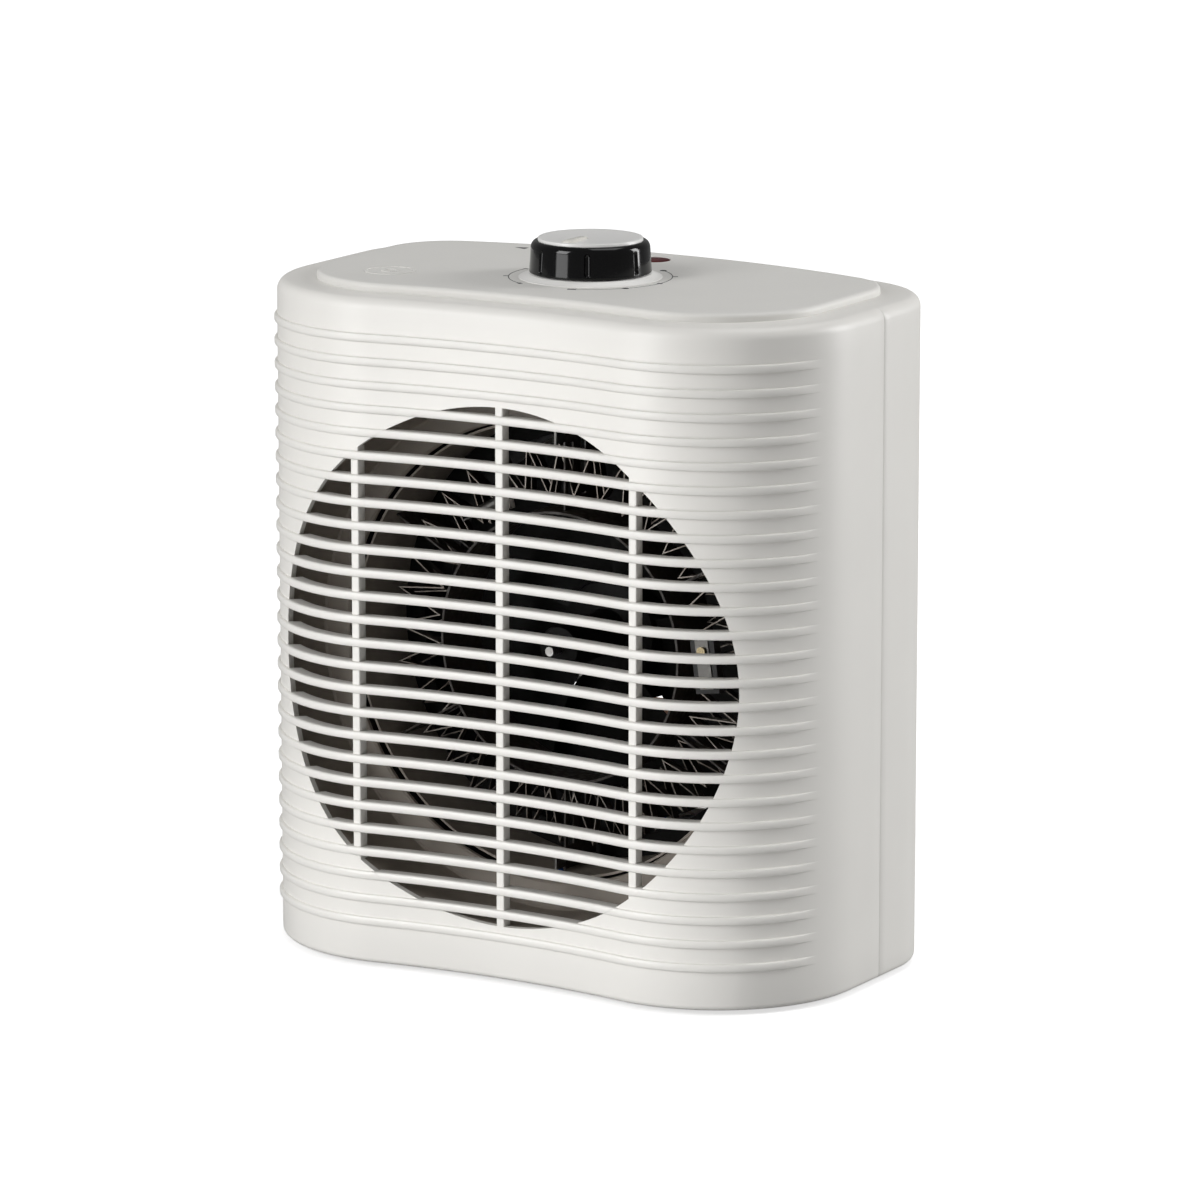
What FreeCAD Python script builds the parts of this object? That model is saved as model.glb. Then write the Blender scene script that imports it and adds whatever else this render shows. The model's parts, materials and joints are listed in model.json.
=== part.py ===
import FreeCAD, Part
import math
import os

import Sketcher

# Free-standing fan heater.  Design axes: X to the right seen from the front, Y from the middle of the
# front face to the back, Z up from the underside of the case.  Every sub-part is then moved back by
# half the depth and up by the height of the feet, so that the model stands on Z = 0 about its centre.

sizes = {
    # case outline and walls
    "caseHalfWidth": 108.3, "caseDepth": 130.0, "caseHeight": 228.0, "wallThick": 2.4,
    "cornerRadius": 51.8, "frontBulge": 4.5, "rearCornerRadius": 37.4, "rearArcRadius": 287.0,
    "rimRadius": 4.0, "baseRadius": 2.0, "seamDepth": 67.0,
    # raised ribs and louvres
    "ribTopGap": 13.2, "ribHeight": 2.9, "ribProud": 1.1, "ribFirst": 14.8, "ribCount": 26,
    "ribEndAngle": 23.0, "ribRoot": 0.6,
    "outletMargin": 20.0, "louvreDepth": 4.6, "louvreCount": 22,
    "uprightWidth": 3.0, "uprightSpacing": 54.0, "uprightSetback": 0.4,
    "intakeRadius": 74.0, "intakeCount": 19,
    # top panel and controls
    "panelInset": 13.5, "panelThick": 2.8, "panelEdge": 1.5, "pegRadius": 2.0, "pegInset": 46.0,
    "pegFrontY": 28.0, "pegRearY": 105.0, "pegGap": 0.15,
    "knobY": 59.0, "knobRadius": 20.65, "knobTopRadius": 20.0, "knobLift": 0.4, "knobHeight": 10.2,
    "knobEdge": 1.6, "knobWall": 2.2, "gripCount": 7, "gripDepth": 0.9, "gripWidth": 0.9,
    "capRadius": 17.8, "capThick": 1.6, "pointerHeight": 0.8, "pointerWidth": 3.6,
    "collarRadius": 23.0, "collarTopRadius": 21.6, "collarHeight": 1.4, "collarBore": 13.0,
    "spindleRadius": 3.0, "spindleGap": 0.05, "spindleHole": 3.6,
    "switchWidth": 36.0, "switchLength": 30.0, "switchHeight": 17.0, "switchBase": 3.0,
    "camRadius": 10.5, "camThick": 3.0, "camGap": 0.5, "apertureGap": 2.0,
    "switchScrewSpan": 17.0, "screwRadius": 1.5, "screwHead": 2.8, "screwHeadHigh": 1.1,
    "lensY": 101.0, "lensRadius": 5.5, "lensProud": 0.3, "lensDeep": 7.0, "lampRadius": 2.4,
    "lampLong": 11.0, "lensGap": 0.1,
    # feet, case screws and cord inlet
    "footGap": 1.5, "footRadius": 8.0, "footStud": 3.0, "footInset": 36.0, "footFrontY": 30.0,
    "footRearY": 98.0,
    "bossRadius": 4.5, "bossInset": 20.3, "bossMargin": 18.0, "bossRecess": 24.0,
    "screwGrip": 9.0, "caseScrewHead": 3.2, "recessRadius": 3.9,
    "inletZ": 24.0, "glandRadius": 6.5, "glandFlange": 9.0, "glandBore": 3.6,
    "glandLong": 14.0, "glandLip": 2.0,
    # air path
    "ductGap": 0.3, "ductWall": 2.0, "ductBack": 30.0,
    "housingWall": 2.0, "cupGap": 0.7, "housingStep": 64.0, "tunnelInset": 7.5,
    "housingBack": 92.0, "spokeThick": 3.0, "spokeWidth": 8.0, "spokeCount": 4,
    "hubDiscRadius": 27.0, "hubDiscBore": 5.0,
    # heating element
    "shroudInset": 10.8, "shroudWall": 0.8, "shroudFront": 34.0,
    "coreGap": 5.5, "coreWall": 0.8, "coreFront": 38.0, "coreBack": 62.0,
    "micaThick": 0.6, "micaFront": 42.0, "micaBack": 62.0, "micaCount": 6,
    "ribbonInset": 9.0, "ribbonWide": 17.0, "ribbonThick": 0.4, "ribbonHigh": 3.2,
    "ribbonFolds": 66, "frontRibbonY": 44.0, "rearRibbonY": 52.0, "ribbonGap": 0.3,
    "cutoutRadius": 57.0, "cutoutLong": 18.0, "cutoutWide": 9.0, "cutoutThick": 4.0,
    "stripThick": 0.5, "stripWide": 5.0, "rivetRadius": 1.6, "fuseRadius": 2.0, "fuseLong": 12.0,
    "lugLong": 12.0, "lugWide": 6.3, "lugThick": 0.8, "lugReach": 8.0,
    # fan and motor
    "fanTipGap": 2.5, "fanHubRadius": 18.0, "fanHubWall": 1.6, "fanBack": 86.0, "bladeAxial": 16.0,
    "bladeChord": 22.0, "bladeThick": 1.5, "bladeCount": 5, "bossFace": 38.0, "bossOuter": 7.5,
    "shaftRadius": 1.6, "shaftNose": 32.0, "shaftTail": 122.0, "shaftGap": 0.03,
    "stackFront": 98.0, "stackThick": 14.0, "stackHalfWidth": 25.0, "stackTop": 20.0,
    "stackBottom": 46.0, "stackWindow": 8.0, "windowTop": 18.0, "windowHalfWidth": 16.0,
    "rotorRadius": 12.8, "airGap": 0.4, "rotorOver": 0.5,
    "coilOver": 5.0, "coilWall": 1.0, "coilHalfLength": 15.0,
    "bridgeThick": 1.5, "bridgeWidth": 12.0, "bridgeSpan": 19.0, "bridgePad": 4.0,
    "bushRadius": 4.0, "bushHalf": 3.0, "motorScrewHead": 2.8,
    "shadeWide": 1.6,
    # wiring
    "wireRadius": 1.1, "blockSetback": 18.0, "blockLong": 26.0, "blockDeep": 14.0, "blockHigh": 15.0,
}


class Size:
    """A size with its number and the same thing written for the sheet."""

    def __init__(self, number, text=None):
        self.number = number
        self.text = text or repr(float(number))

    def __add__(self, other):
        return Size(self.number + plain(other), "(%s + %s)" % (self.text, worded(other)))

    def __sub__(self, other):
        return Size(self.number - plain(other), "(%s - %s)" % (self.text, worded(other)))

    def __mul__(self, other):
        return Size(self.number * plain(other), "(%s * %s)" % (self.text, worded(other)))

    def __truediv__(self, other):
        return Size(self.number / plain(other), "(%s / %s)" % (self.text, worded(other)))

    def __neg__(self):
        return Size(-self.number, "(0 - %s)" % self.text)

    __radd__ = __add__

    __rmul__ = __mul__

    def __rsub__(self, other):
        return Size(plain(other) - self.number, "(%s - %s)" % (worded(other), self.text))


def plain(value):
    return value.number if isinstance(value, Size) else value


def worded(value):
    return value.text if isinstance(value, Size) else repr(float(value))


def root(value):
    return Size(math.sqrt(value.number), "sqrt(%s)" % value.text)


doc = FreeCAD.newDocument("FanHeater")
sheet = doc.addObject("Spreadsheet::Sheet", "Dims")
for row, (name, number) in enumerate(sizes.items(), start=1):
    sheet.set("A%d" % row, name)
    sheet.set("B%d" % row, str(number))
    sheet.setAlias("B%d" % row, name)
doc.recompute()
d = type("Sizes", (), {name: Size(number, "Dims." + name) for name, number in sizes.items()})

parts = {}
up = FreeCAD.Vector(0, 0, 1)


def point(x, y, z=0.0):
    return FreeCAD.Vector(plain(x), plain(y), plain(z))


def bind(thing, prop, value):
    """Set a property from a size, through the sheet."""
    if isinstance(value, Size):
        thing.setExpression(prop, value.text)
    else:
        setattr(thing, prop, value)


def seat(thing, name, x=0.0, y=0.0, z=0.0, turn=None):
    """Name a finished sub-part and stand it in the object's own frame."""
    thing.Label = name
    base = (x + Size(0.0), y - midDepth, z + d.footGap)
    rotation = turn or FreeCAD.Rotation()
    thing.Placement = FreeCAD.Placement(point(*base), rotation)
    for axis, value in zip("xyz", base):
        thing.setExpression("Placement.Base." + axis, value.text)
    parts[name] = thing
    return thing


def shift(thing, x=0.0, y=0.0, z=0.0, turn=None):
    """Place a construction solid in the design axes."""
    thing.Placement = FreeCAD.Placement(point(x, y, z), turn or FreeCAD.Rotation())
    for axis, value in (("x", x), ("y", y), ("z", z)):
        if isinstance(value, Size):
            thing.setExpression("Placement.Base." + axis, value.text)
    return thing


# ---------------------------------------------------------------- sketches and features

planes = {"top": "XY_Plane", "front": "XZ_Plane", "side": "YZ_Plane"}


def newBody(name):
    return doc.addObject("PartDesign::Body", name + "Body")


def newSketch(body, plane="top", at=0.0):
    """A sketch on one of the body's own planes, moved along the plane's normal."""
    sketch = body.newObject("Sketcher::SketchObject", body.Name + "Sketch")
    origin = [item for item in body.Origin.OriginFeatures if item.Role == planes[plane]][0]
    sketch.AttachmentSupport = [(origin, "")]
    sketch.MapMode = "FlatFace"
    along = -at if plane == "front" else at
    sketch.AttachmentOffset = FreeCAD.Placement(point(0, 0, along), FreeCAD.Rotation())
    if isinstance(along, Size):
        sketch.setExpression("AttachmentOffset.Base.z", along.text)
    return sketch


def pin(sketch, kind, value, *where):
    """Add a driving dimension and tie it to the sheet."""
    index = sketch.addConstraint(Sketcher.Constraint(kind, *where, plain(value)))
    if isinstance(value, Size):
        sketch.setExpression("Constraints[%d]" % index, value.text)


def pinPoint(sketch, geometry, position, x, y):
    pin(sketch, "DistanceX", x, -1, 1, geometry, position)
    pin(sketch, "DistanceY", y, -1, 1, geometry, position)


def polygon(sketch, corners):
    """A closed run of straight lines with every corner dimensioned."""
    first = sketch.GeometryCount
    count = len(corners)
    for index, corner in enumerate(corners):
        following = corners[(index + 1) % count]
        sketch.addGeometry(Part.LineSegment(point(*corner), point(*following)), False)
    for index, corner in enumerate(corners):
        following = first + (index + 1) % count
        sketch.addConstraint(Sketcher.Constraint("Coincident", first + index, 2, following, 1))
        pinPoint(sketch, first + index, 1, *corner)


def rectangle(sketch, x0, y0, x1, y1):
    polygon(sketch, [(x0, y0), (x1, y0), (x1, y1), (x0, y1)])


def circle(sketch, x, y, radius):
    index = sketch.addGeometry(Part.Circle(point(x, y), up, plain(radius)), False)
    pin(sketch, "Radius", radius, index)
    pinPoint(sketch, index, 3, x, y)


def feature(body, kind, sketch, length=None, reverse=False, both=False):
    item = body.newObject("PartDesign::" + kind, body.Name + kind)
    item.Profile = sketch
    item.Reversed = reverse
    if both:
        item.Midplane = True
    if length is None:
        item.Type = "ThroughAll"
    else:
        bind(item, "Length", length)
    body.Tip = item
    doc.recompute()
    return item


def pad(body, sketch, length, reverse=False, both=False):
    return feature(body, "Pad", sketch, length, reverse, both)


def pocket(body, sketch, length=None, reverse=False, both=False):
    """Cut a pocket, and make sure that it takes material away."""
    before = body.Shape.Volume
    item = feature(body, "Pocket", sketch, length, reverse, both)
    if body.Shape.Volume >= before - 1e-6:
        raise RuntimeError("pocket cuts nothing in " + body.Name)
    return item


def stack(body, item, sketch, pitch, count):
    """Repeat a feature along its sketch's normal."""
    pattern = body.newObject("PartDesign::LinearPattern", body.Name + "Rows")
    pattern.Originals = [item]
    pattern.Direction = (sketch, ["N_Axis"])
    pattern.Mode = "Spacing"
    bind(pattern, "Offset", pitch)
    bind(pattern, "Occurrences", count)
    body.Tip = pattern
    doc.recompute()
    return pattern


def around(body, item, sketch, count, axis="N_Axis"):
    """Repeat a feature round an axis of its sketch."""
    pattern = body.newObject("PartDesign::PolarPattern", body.Name + "Round")
    pattern.Originals = [item]
    pattern.Axis = (sketch, [axis])
    pattern.Angle = 360.0
    bind(pattern, "Occurrences", count)
    body.Tip = pattern
    doc.recompute()
    return pattern


def facesAt(shape, height):
    """Names of the flat level faces at a height."""
    found = []
    for index, face in enumerate(shape.Faces, start=1):
        box = face.BoundBox
        if abs(box.ZMin - plain(height)) < 1e-4 and abs(box.ZMax - plain(height)) < 1e-4:
            found.append("Face%d" % index)
    return found


def softenAt(body, height, radius, kind="Fillet"):
    """Round or bevel the edges of the level face at a height."""
    base = body.Tip
    item = body.newObject("PartDesign::" + kind, body.Name + kind)
    item.Base = (base, facesAt(base.Shape, height))
    bind(item, "Radius" if kind == "Fillet" else "Size", radius)
    body.Tip = item
    doc.recompute()
    return item


def revolved(name, corners):
    """A ring turned about the Y axis: corners are (radius, Y)."""
    body = newBody(name)
    sketch = newSketch(body)
    polygon(sketch, corners)
    item = body.newObject("PartDesign::Revolution", name + "Turn")
    item.Profile = sketch
    item.ReferenceAxis = (sketch, ["V_Axis"])
    item.Angle = 360.0
    body.Tip = item
    doc.recompute()
    return body


def tube(name, inner, outer, y0, y1):
    return revolved(name, [(inner, y0), (outer, y0), (outer, y1), (inner, y1)])


def spun(name, corners):
    """A piece turned about an upright axis: corners are (radius, Z)."""
    body = newBody(name)
    sketch = newSketch(body, "front")
    polygon(sketch, corners)
    item = body.newObject("PartDesign::Revolution", name + "Turn")
    item.Profile = sketch
    item.ReferenceAxis = (sketch, ["V_Axis"])
    item.Angle = 360.0
    body.Tip = item
    doc.recompute()
    return body


def block(name, x0, y0, z0, x1, y1, z1):
    """A plain block between two corners."""
    body = newBody(name)
    sketch = newSketch(body, "top", z0)
    rectangle(sketch, x0, y0, x1, y1)
    pad(body, sketch, z1 - z0)
    return body


def rod(name, radius, y0, y1):
    """A round bar along Y."""
    body = newBody(name)
    sketch = newSketch(body, "front", y0)
    circle(sketch, 0.0, 0.0, radius)
    pad(body, sketch, y1 - y0, reverse=True)
    return body


def combine(kind, name, base, tool):
    item = doc.addObject("Part::" + kind, name + kind)
    item.Base = base
    item.Tool = tool
    doc.recompute()
    return item


# ---------------------------------------------------------------- the case outline

midDepth = (d.caseDepth + d.glandLip - d.frontBulge - d.ribProud) / 2
cornerX = d.caseHalfWidth - d.cornerRadius
cornerY = d.cornerRadius - d.frontBulge
frontArc = (cornerX * cornerX + d.frontBulge * d.frontBulge) / (2 * d.frontBulge) - d.cornerRadius
rearCornerX = d.caseHalfWidth - d.rearCornerRadius
rearCentreY = d.caseDepth - d.rearArcRadius
rearReach = d.rearArcRadius - d.rearCornerRadius
rearCornerY = rearCentreY + root(rearReach * rearReach - rearCornerX * rearCornerX)
frontAngle = math.atan2(plain(cornerY + frontArc), plain(cornerX))
rearAngle = math.atan2(plain(rearCornerY - rearCentreY), plain(rearCornerX))


def arc(sketch, x, y, radius, start, end):
    """An anticlockwise arc; returns its number in the sketch."""
    curve = Part.ArcOfCircle(Part.Circle(point(x, y), up, plain(radius)), start, end)
    return sketch.addGeometry(curve, False)


def join(sketch, *ends):
    """Meet end to end: ends are (geometry, position) in pairs."""
    for first, second in zip(ends[0::2], ends[1::2]):
        sketch.addConstraint(Sketcher.Constraint("Coincident", *first, *second))


def outline(sketch, inset=0.0):
    """The closed plan of the case: hollow front, round corners, straight sides and bowed back."""
    half = d.caseHalfWidth - inset
    front = arc(sketch, 0.0, -frontArc, frontArc + inset, frontAngle, math.pi - frontAngle)
    right = arc(sketch, cornerX, cornerY, d.cornerRadius - inset, frontAngle - math.pi, 0.0)
    rightSide = sketch.addGeometry(Part.LineSegment(point(half, cornerY), point(half, rearCornerY)), False)
    rearRight = arc(sketch, rearCornerX, rearCornerY, d.rearCornerRadius - inset, 0.0, rearAngle)
    rear = arc(sketch, 0.0, rearCentreY, d.rearArcRadius - inset, rearAngle, math.pi - rearAngle)
    rearLeft = arc(sketch, -rearCornerX, rearCornerY, d.rearCornerRadius - inset,
                   math.pi - rearAngle, math.pi)
    leftSide = sketch.addGeometry(Part.LineSegment(point(-half, rearCornerY), point(-half, cornerY)), False)
    left = arc(sketch, -cornerX, cornerY, d.cornerRadius - inset, math.pi, 2 * math.pi - frontAngle)
    join(sketch, (front, 1), (right, 1), (right, 2), (rightSide, 1), (rightSide, 2), (rearRight, 1),
         (rearRight, 2), (rear, 1), (rear, 2), (rearLeft, 1), (rearLeft, 2), (leftSide, 1),
         (leftSide, 2), (left, 1), (left, 2), (front, 2))
    for side in (right, left):
        pin(sketch, "Radius", d.cornerRadius - inset, side)
    for side in (rearRight, rearLeft):
        pin(sketch, "Radius", d.rearCornerRadius - inset, side)
    pin(sketch, "Radius", d.rearArcRadius - inset, rear)


def frontStrip(sketch, outer, inner):
    """A band that follows the front face and both front corners, between two insets."""
    tip = math.radians(d.ribEndAngle.number)
    loops = []
    for inset in (outer, inner):
        front = arc(sketch, 0.0, -frontArc, frontArc + inset, frontAngle, math.pi - frontAngle)
        right = arc(sketch, cornerX, cornerY, d.cornerRadius - inset, frontAngle - math.pi, -tip)
        left = arc(sketch, -cornerX, cornerY, d.cornerRadius - inset,
                   math.pi + tip, 2 * math.pi - frontAngle)
        join(sketch, (front, 1), (right, 1), (left, 2), (front, 2))
        pin(sketch, "Radius", d.cornerRadius - inset, right)
        pin(sketch, "Radius", d.cornerRadius - inset, left)
        loops.append((left, right, inset))
    for side, way in ((0, 1), (1, 2)):
        ends = []
        for loop in loops:
            sweep = sketch.Geometry[loop[side]]
            ends.append(sweep.StartPoint if way == 1 else sweep.EndPoint)
        cap = sketch.addGeometry(Part.LineSegment(*ends), False)
        join(sketch, (cap, 1), (loops[0][side], way), (cap, 2), (loops[1][side], way))


def rearStrip(sketch, outer, inner):
    """A band that follows the bowed back, between two insets."""
    rows = []
    for inset in (outer, inner):
        rows.append(arc(sketch, 0.0, rearCentreY, d.rearArcRadius - inset, rearAngle, math.pi - rearAngle))
        pin(sketch, "Radius", d.rearArcRadius - inset, rows[-1])
    for way in (1, 2):
        curves = [sketch.Geometry[row] for row in rows]
        ends = [curve.StartPoint if way == 1 else curve.EndPoint for curve in curves]
        cap = sketch.addGeometry(Part.LineSegment(*ends), False)
        join(sketch, (cap, 1), (rows[0], way), (cap, 2), (rows[1], way))


# what follows from the driving sizes
panelTop = d.caseHeight + d.panelThick
ribPitch = (d.caseHeight - d.ribFirst - d.ribTopGap) / (d.ribCount - 1)
outletHeight = d.ribFirst + ribPitch * (d.louvreCount + 1) / 2
outletRadius = d.caseHalfWidth - d.outletMargin
footX = d.caseHalfWidth - d.footInset
pegX = d.caseHalfWidth - d.pegInset
blockFront = d.seamDepth + d.blockSetback


# ---------------------------------------------------------------- case shells and grilles

bossX = d.caseHalfWidth - d.bossInset
bossBack = d.caseDepth - d.bossRecess
caseScrewLong = bossBack - d.seamDepth + d.screwGrip
bossHeights = (d.bossMargin, d.caseHeight - d.bossMargin)
bossPlaces = [(side * bossX, high) for side in (-1, 1) for high in bossHeights]


def caseHalf(name, isFront):
    """One half of the hollow case, up to the upright seam round the sides."""
    body = newBody(name)
    whole = newSketch(body)
    outline(whole)
    pad(body, whole, d.caseHeight)
    softenAt(body, d.caseHeight, d.rimRadius)
    softenAt(body, 0.0, d.baseRadius)
    hollow = newSketch(body, "top", d.wallThick)
    outline(hollow, d.wallThick)
    pocket(body, hollow, d.caseHeight - 2 * d.wallThick, reverse=True)
    if isFront:
        ribs = newSketch(body, "top", d.ribFirst - d.ribHeight / 2)
        frontStrip(ribs, -d.ribProud, d.ribRoot)
        rib = pad(body, ribs, d.ribHeight)
        stack(body, rib, ribs, ribPitch, d.ribCount)
    reach = d.caseHalfWidth * 2
    other = newSketch(body)
    if isFront:
        rectangle(other, -reach, d.seamDepth, reach, d.caseDepth * 2)
    else:
        rectangle(other, -reach, -reach, reach, d.seamDepth)
    pocket(body, other, both=True)
    mouth = newSketch(body, "front", -d.cornerRadius if isFront else d.caseDepth - d.rearCornerRadius / 2)
    circle(mouth, 0.0, outletHeight, outletRadius if isFront else d.intakeRadius)
    pocket(body, mouth, d.cornerRadius + d.seamDepth / 2 if isFront else d.caseDepth)
    return body


def fittings(body, isFront):
    """Screw bosses, control aperture, peg holes and foot holes of one half."""
    bosses = newSketch(body, "front", d.seamDepth)
    for x, z in bossPlaces:
        circle(bosses, x, z, d.bossRadius)
    start = bossX + d.bossRadius - cornerX
    inner = d.cornerRadius - d.wallThick
    frontEnd = cornerY - root(inner * inner - start * start) - 1.0
    if isFront:
        pad(body, bosses, d.seamDepth - frontEnd)
        drill = newSketch(body, "front", d.seamDepth)
        for x, z in bossPlaces:
            circle(drill, x, z, d.screwRadius)
        pocket(body, drill, d.screwGrip + 1.0, reverse=True)
    else:
        pad(body, bosses, bossBack - d.seamDepth, reverse=True)
        closed = newSketch(body, "front", bossBack)
        for x, z in bossPlaces:
            circle(closed, x, z, d.recessRadius + d.wallThick)
        pad(body, closed, d.caseDepth - bossBack, reverse=True)
        drill = newSketch(body, "front", bossBack)
        for x, z in bossPlaces:
            circle(drill, x, z, d.recessRadius)
        pocket(body, drill, d.caseDepth)
        bores = newSketch(body, "front", d.seamDepth)
        for x, z in bossPlaces:
            circle(bores, x, z, d.screwRadius)
        pocket(body, bores, bossBack)
        inlet = newSketch(body, "front", d.seamDepth)
        circle(inlet, 0.0, d.inletZ, d.glandRadius)
        pocket(body, inlet, d.caseDepth)
    lid = newSketch(body, "top", d.caseHeight)
    halfWide = d.switchWidth / 2 + d.apertureGap
    halfLong = d.switchLength / 2 + d.apertureGap
    rectangle(lid, -halfWide, d.knobY - halfLong, halfWide, d.knobY + halfLong)
    rowY = d.pegFrontY if isFront else d.pegRearY
    for side in (-1, 1):
        circle(lid, side * pegX, rowY, d.pegRadius + d.pegGap)
    if not isFront:
        circle(lid, 0.0, d.lensY, d.lensRadius)
    pocket(body, lid, d.wallThick + 0.5)
    floor = newSketch(body)
    footY = d.footFrontY if isFront else d.footRearY
    for side in (-1, 1):
        circle(floor, side * footX, footY, d.footStud)
    pocket(body, floor, d.wallThick, reverse=True)
    return body


def frontShell():
    body = caseHalf("FrontShell", True)
    seat(fittings(body, True), "front_shell")


def rearShell():
    """The rear half, trimmed to the outline where the screw wells meet the round corners."""
    body = fittings(caseHalf("RearShell", False), False)
    envelope = newBody("Envelope")
    plan = newSketch(envelope)
    outline(plan)
    pad(envelope, plan, d.caseHeight)
    seat(combine("Common", "RearShell", body, envelope), "rear_shell")


def grille(name, label, strip, outer, depth, first, count, radius, front):
    """A round field of level louvres with three uprights behind their faces."""
    body = newBody(name)
    sketch = newSketch(body, "top", first - d.ribHeight / 2)
    strip(sketch, outer, depth)
    louvre = pad(body, sketch, d.ribHeight)
    stack(body, louvre, sketch, ribPitch, count)
    uprights = newSketch(body, "top", outletHeight)
    for side in (-1, 0, 1):
        middle = side * d.uprightSpacing
        face = front(side)
        rectangle(uprights, middle - d.uprightWidth / 2, face[0], middle + d.uprightWidth / 2, face[1])
    pad(body, uprights, 2 * radius, both=True)
    disc = rod(name + "Disc", radius, -2 * d.cornerRadius, d.caseDepth * 2)
    shift(disc, z=outletHeight)
    seat(combine("Common", name, body, disc), label)


def frontGrille():
    """Louvres in line with the ribs, ending at the round opening."""
    lowest = d.ribFirst + ribPitch

    def face(side):
        y = -d.frontBulge * abs(side) + d.uprightSetback
        return (y, y + d.louvreDepth - d.uprightSetback)

    grille("FrontGrille", "front_grille", frontStrip, -d.ribProud, d.louvreDepth,
           lowest, d.louvreCount, outletRadius, face)


def rearGrille():
    """Level bars across the air intake, flush with the back."""
    lowest = outletHeight - ribPitch * (d.intakeCount - 1) / 2

    def face(side):
        offset = d.uprightSpacing * side
        skin = rearCentreY + root(d.rearArcRadius * d.rearArcRadius - offset * offset)
        return (skin - d.wallThick - d.uprightSetback, skin - d.uprightSetback * 2)

    grille("RearGrille", "rear_grille", rearStrip, 0.0, d.wallThick,
           lowest, d.intakeCount, d.intakeRadius, face)


# ---------------------------------------------------------------- top panel and controls

switchX = d.switchWidth / 2
switchY = d.switchLength / 2
switchFloor = d.caseHeight - d.switchHeight
camTop = d.caseHeight - d.wallThick * 2
camBottom = camTop - d.camThick
knobBottom = panelTop + d.collarHeight + d.knobLift
knobTop = knobBottom + d.knobHeight


def topPanel():
    """The plate over both shells, held by four pegs, with holes for spindle, screws and lens."""
    body = newBody("TopPanel")
    plan = newSketch(body, "top", d.caseHeight)
    outline(plan, d.panelInset)
    pad(body, plan, d.panelThick)
    softenAt(body, panelTop, d.panelEdge)
    holes = newSketch(body, "top", panelTop)
    circle(holes, 0.0, d.knobY, d.spindleHole)
    circle(holes, 0.0, d.lensY, d.lensRadius + d.lensGap)
    for side in (-1, 1):
        circle(holes, side * d.switchScrewSpan / 2, d.knobY, d.screwRadius)
    pocket(body, holes, d.panelThick)
    pegs = newSketch(body, "top", d.caseHeight)
    for side in (-1, 1):
        for y in (d.pegFrontY, d.pegRearY):
            circle(pegs, side * pegX, y, d.pegRadius)
    pad(body, pegs, d.wallThick + 1.5, reverse=True)
    seat(body, "top_panel")


def knobCollar():
    body = spun("KnobCollar", [(d.collarBore, panelTop), (d.collarRadius, panelTop),
                               (d.collarTopRadius, panelTop + d.collarHeight),
                               (d.collarBore, panelTop + d.collarHeight)])
    seat(body, "knob_collar", y=d.knobY)


def pilotLens():
    """A cup with a low rim over the panel and a blind bore for the lamp."""
    top = panelTop + d.lensProud
    foot = panelTop - d.lensDeep
    bore = d.lampRadius + d.lensGap
    body = spun("PilotLens", [(0.0, top - d.panelThick), (bore, top - d.panelThick), (bore, foot),
                              (d.lensRadius, foot), (d.lensRadius, top - 0.5),
                              (d.lensRadius - 0.5, top), (0.0, top)])
    seat(body, "pilot_lens", y=d.lensY)


def pilotLamp():
    """A small neon lamp, its domed tip against the lens and two leads below."""
    tip = panelTop + d.lensProud - d.panelThick
    base = tip - d.lampLong
    body = spun("PilotLamp", [(0.0, base), (d.lampRadius, base), (d.lampRadius, tip - 1.0),
                              (d.lampRadius - 1.0, tip), (0.0, tip)])
    leads = newSketch(body, "top", base)
    for side in (-1, 1):
        circle(leads, side * d.lampRadius / 2, 0.0, 0.3)
    pad(body, leads, 6.0, reverse=True)
    seat(body, "pilot_lamp", y=d.lensY)


def switchBody():
    """The rotary switch housing: open below, with a bearing for the spindle above."""
    body = block("SelectorSwitch", -switchX, -switchY, switchFloor + d.switchBase,
                 switchX, switchY, d.caseHeight)
    hollow = newSketch(body, "top", switchFloor + d.switchBase)
    circle(hollow, 0.0, 0.0, d.camRadius + d.camGap)
    pocket(body, hollow, camTop - switchFloor - d.switchBase, reverse=True)
    bearing = newSketch(body, "top", d.caseHeight)
    circle(bearing, 0.0, 0.0, d.spindleRadius + d.spindleGap)
    pocket(body, bearing, d.wallThick * 2)
    drill = newSketch(body, "top", d.caseHeight)
    for side in (-1, 1):
        circle(drill, side * d.switchScrewSpan / 2, 0.0, d.screwRadius)
    pocket(body, drill, d.wallThick * 1.5)
    seat(body, "selector_switch", y=d.knobY)


def switchBase():
    body = block("SwitchBase", -switchX, -switchY, switchFloor, switchX, switchY,
                 switchFloor + d.switchBase)
    pivot = newSketch(body, "top", switchFloor + d.switchBase)
    circle(pivot, 0.0, 0.0, d.spindleRadius + d.spindleGap)
    pocket(body, pivot, d.switchBase / 2)
    seat(body, "switch_base", y=d.knobY)


def switchTerminals():
    """Four push-on blades under the switch."""
    body = newBody("SwitchTerminals")
    blades = newSketch(body, "top", switchFloor)
    for x in (-switchX + 5.0, -switchX / 3, switchX / 3, switchX - 5.0):
        rectangle(blades, x - d.lugThick / 2, -d.lugWide / 2, x + d.lugThick / 2, d.lugWide / 2)
    pad(body, blades, d.lugReach, reverse=True)
    seat(body, "switch_terminals", y=d.knobY)


def switchScrews():
    """Two short screws that hold the switch up against the panel, hidden by the knob."""
    body = newBody("SwitchScrews")
    for long, radius, way in ((d.panelThick + d.wallThick, d.screwRadius, True),
                              (d.screwHeadHigh, d.screwHead, False)):
        sketch = newSketch(body, "top", panelTop)
        for side in (-1, 1):
            circle(sketch, side * d.switchScrewSpan / 2, 0.0, radius)
        pad(body, sketch, long, reverse=way)
    seat(body, "switch_screws", y=d.knobY)


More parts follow.
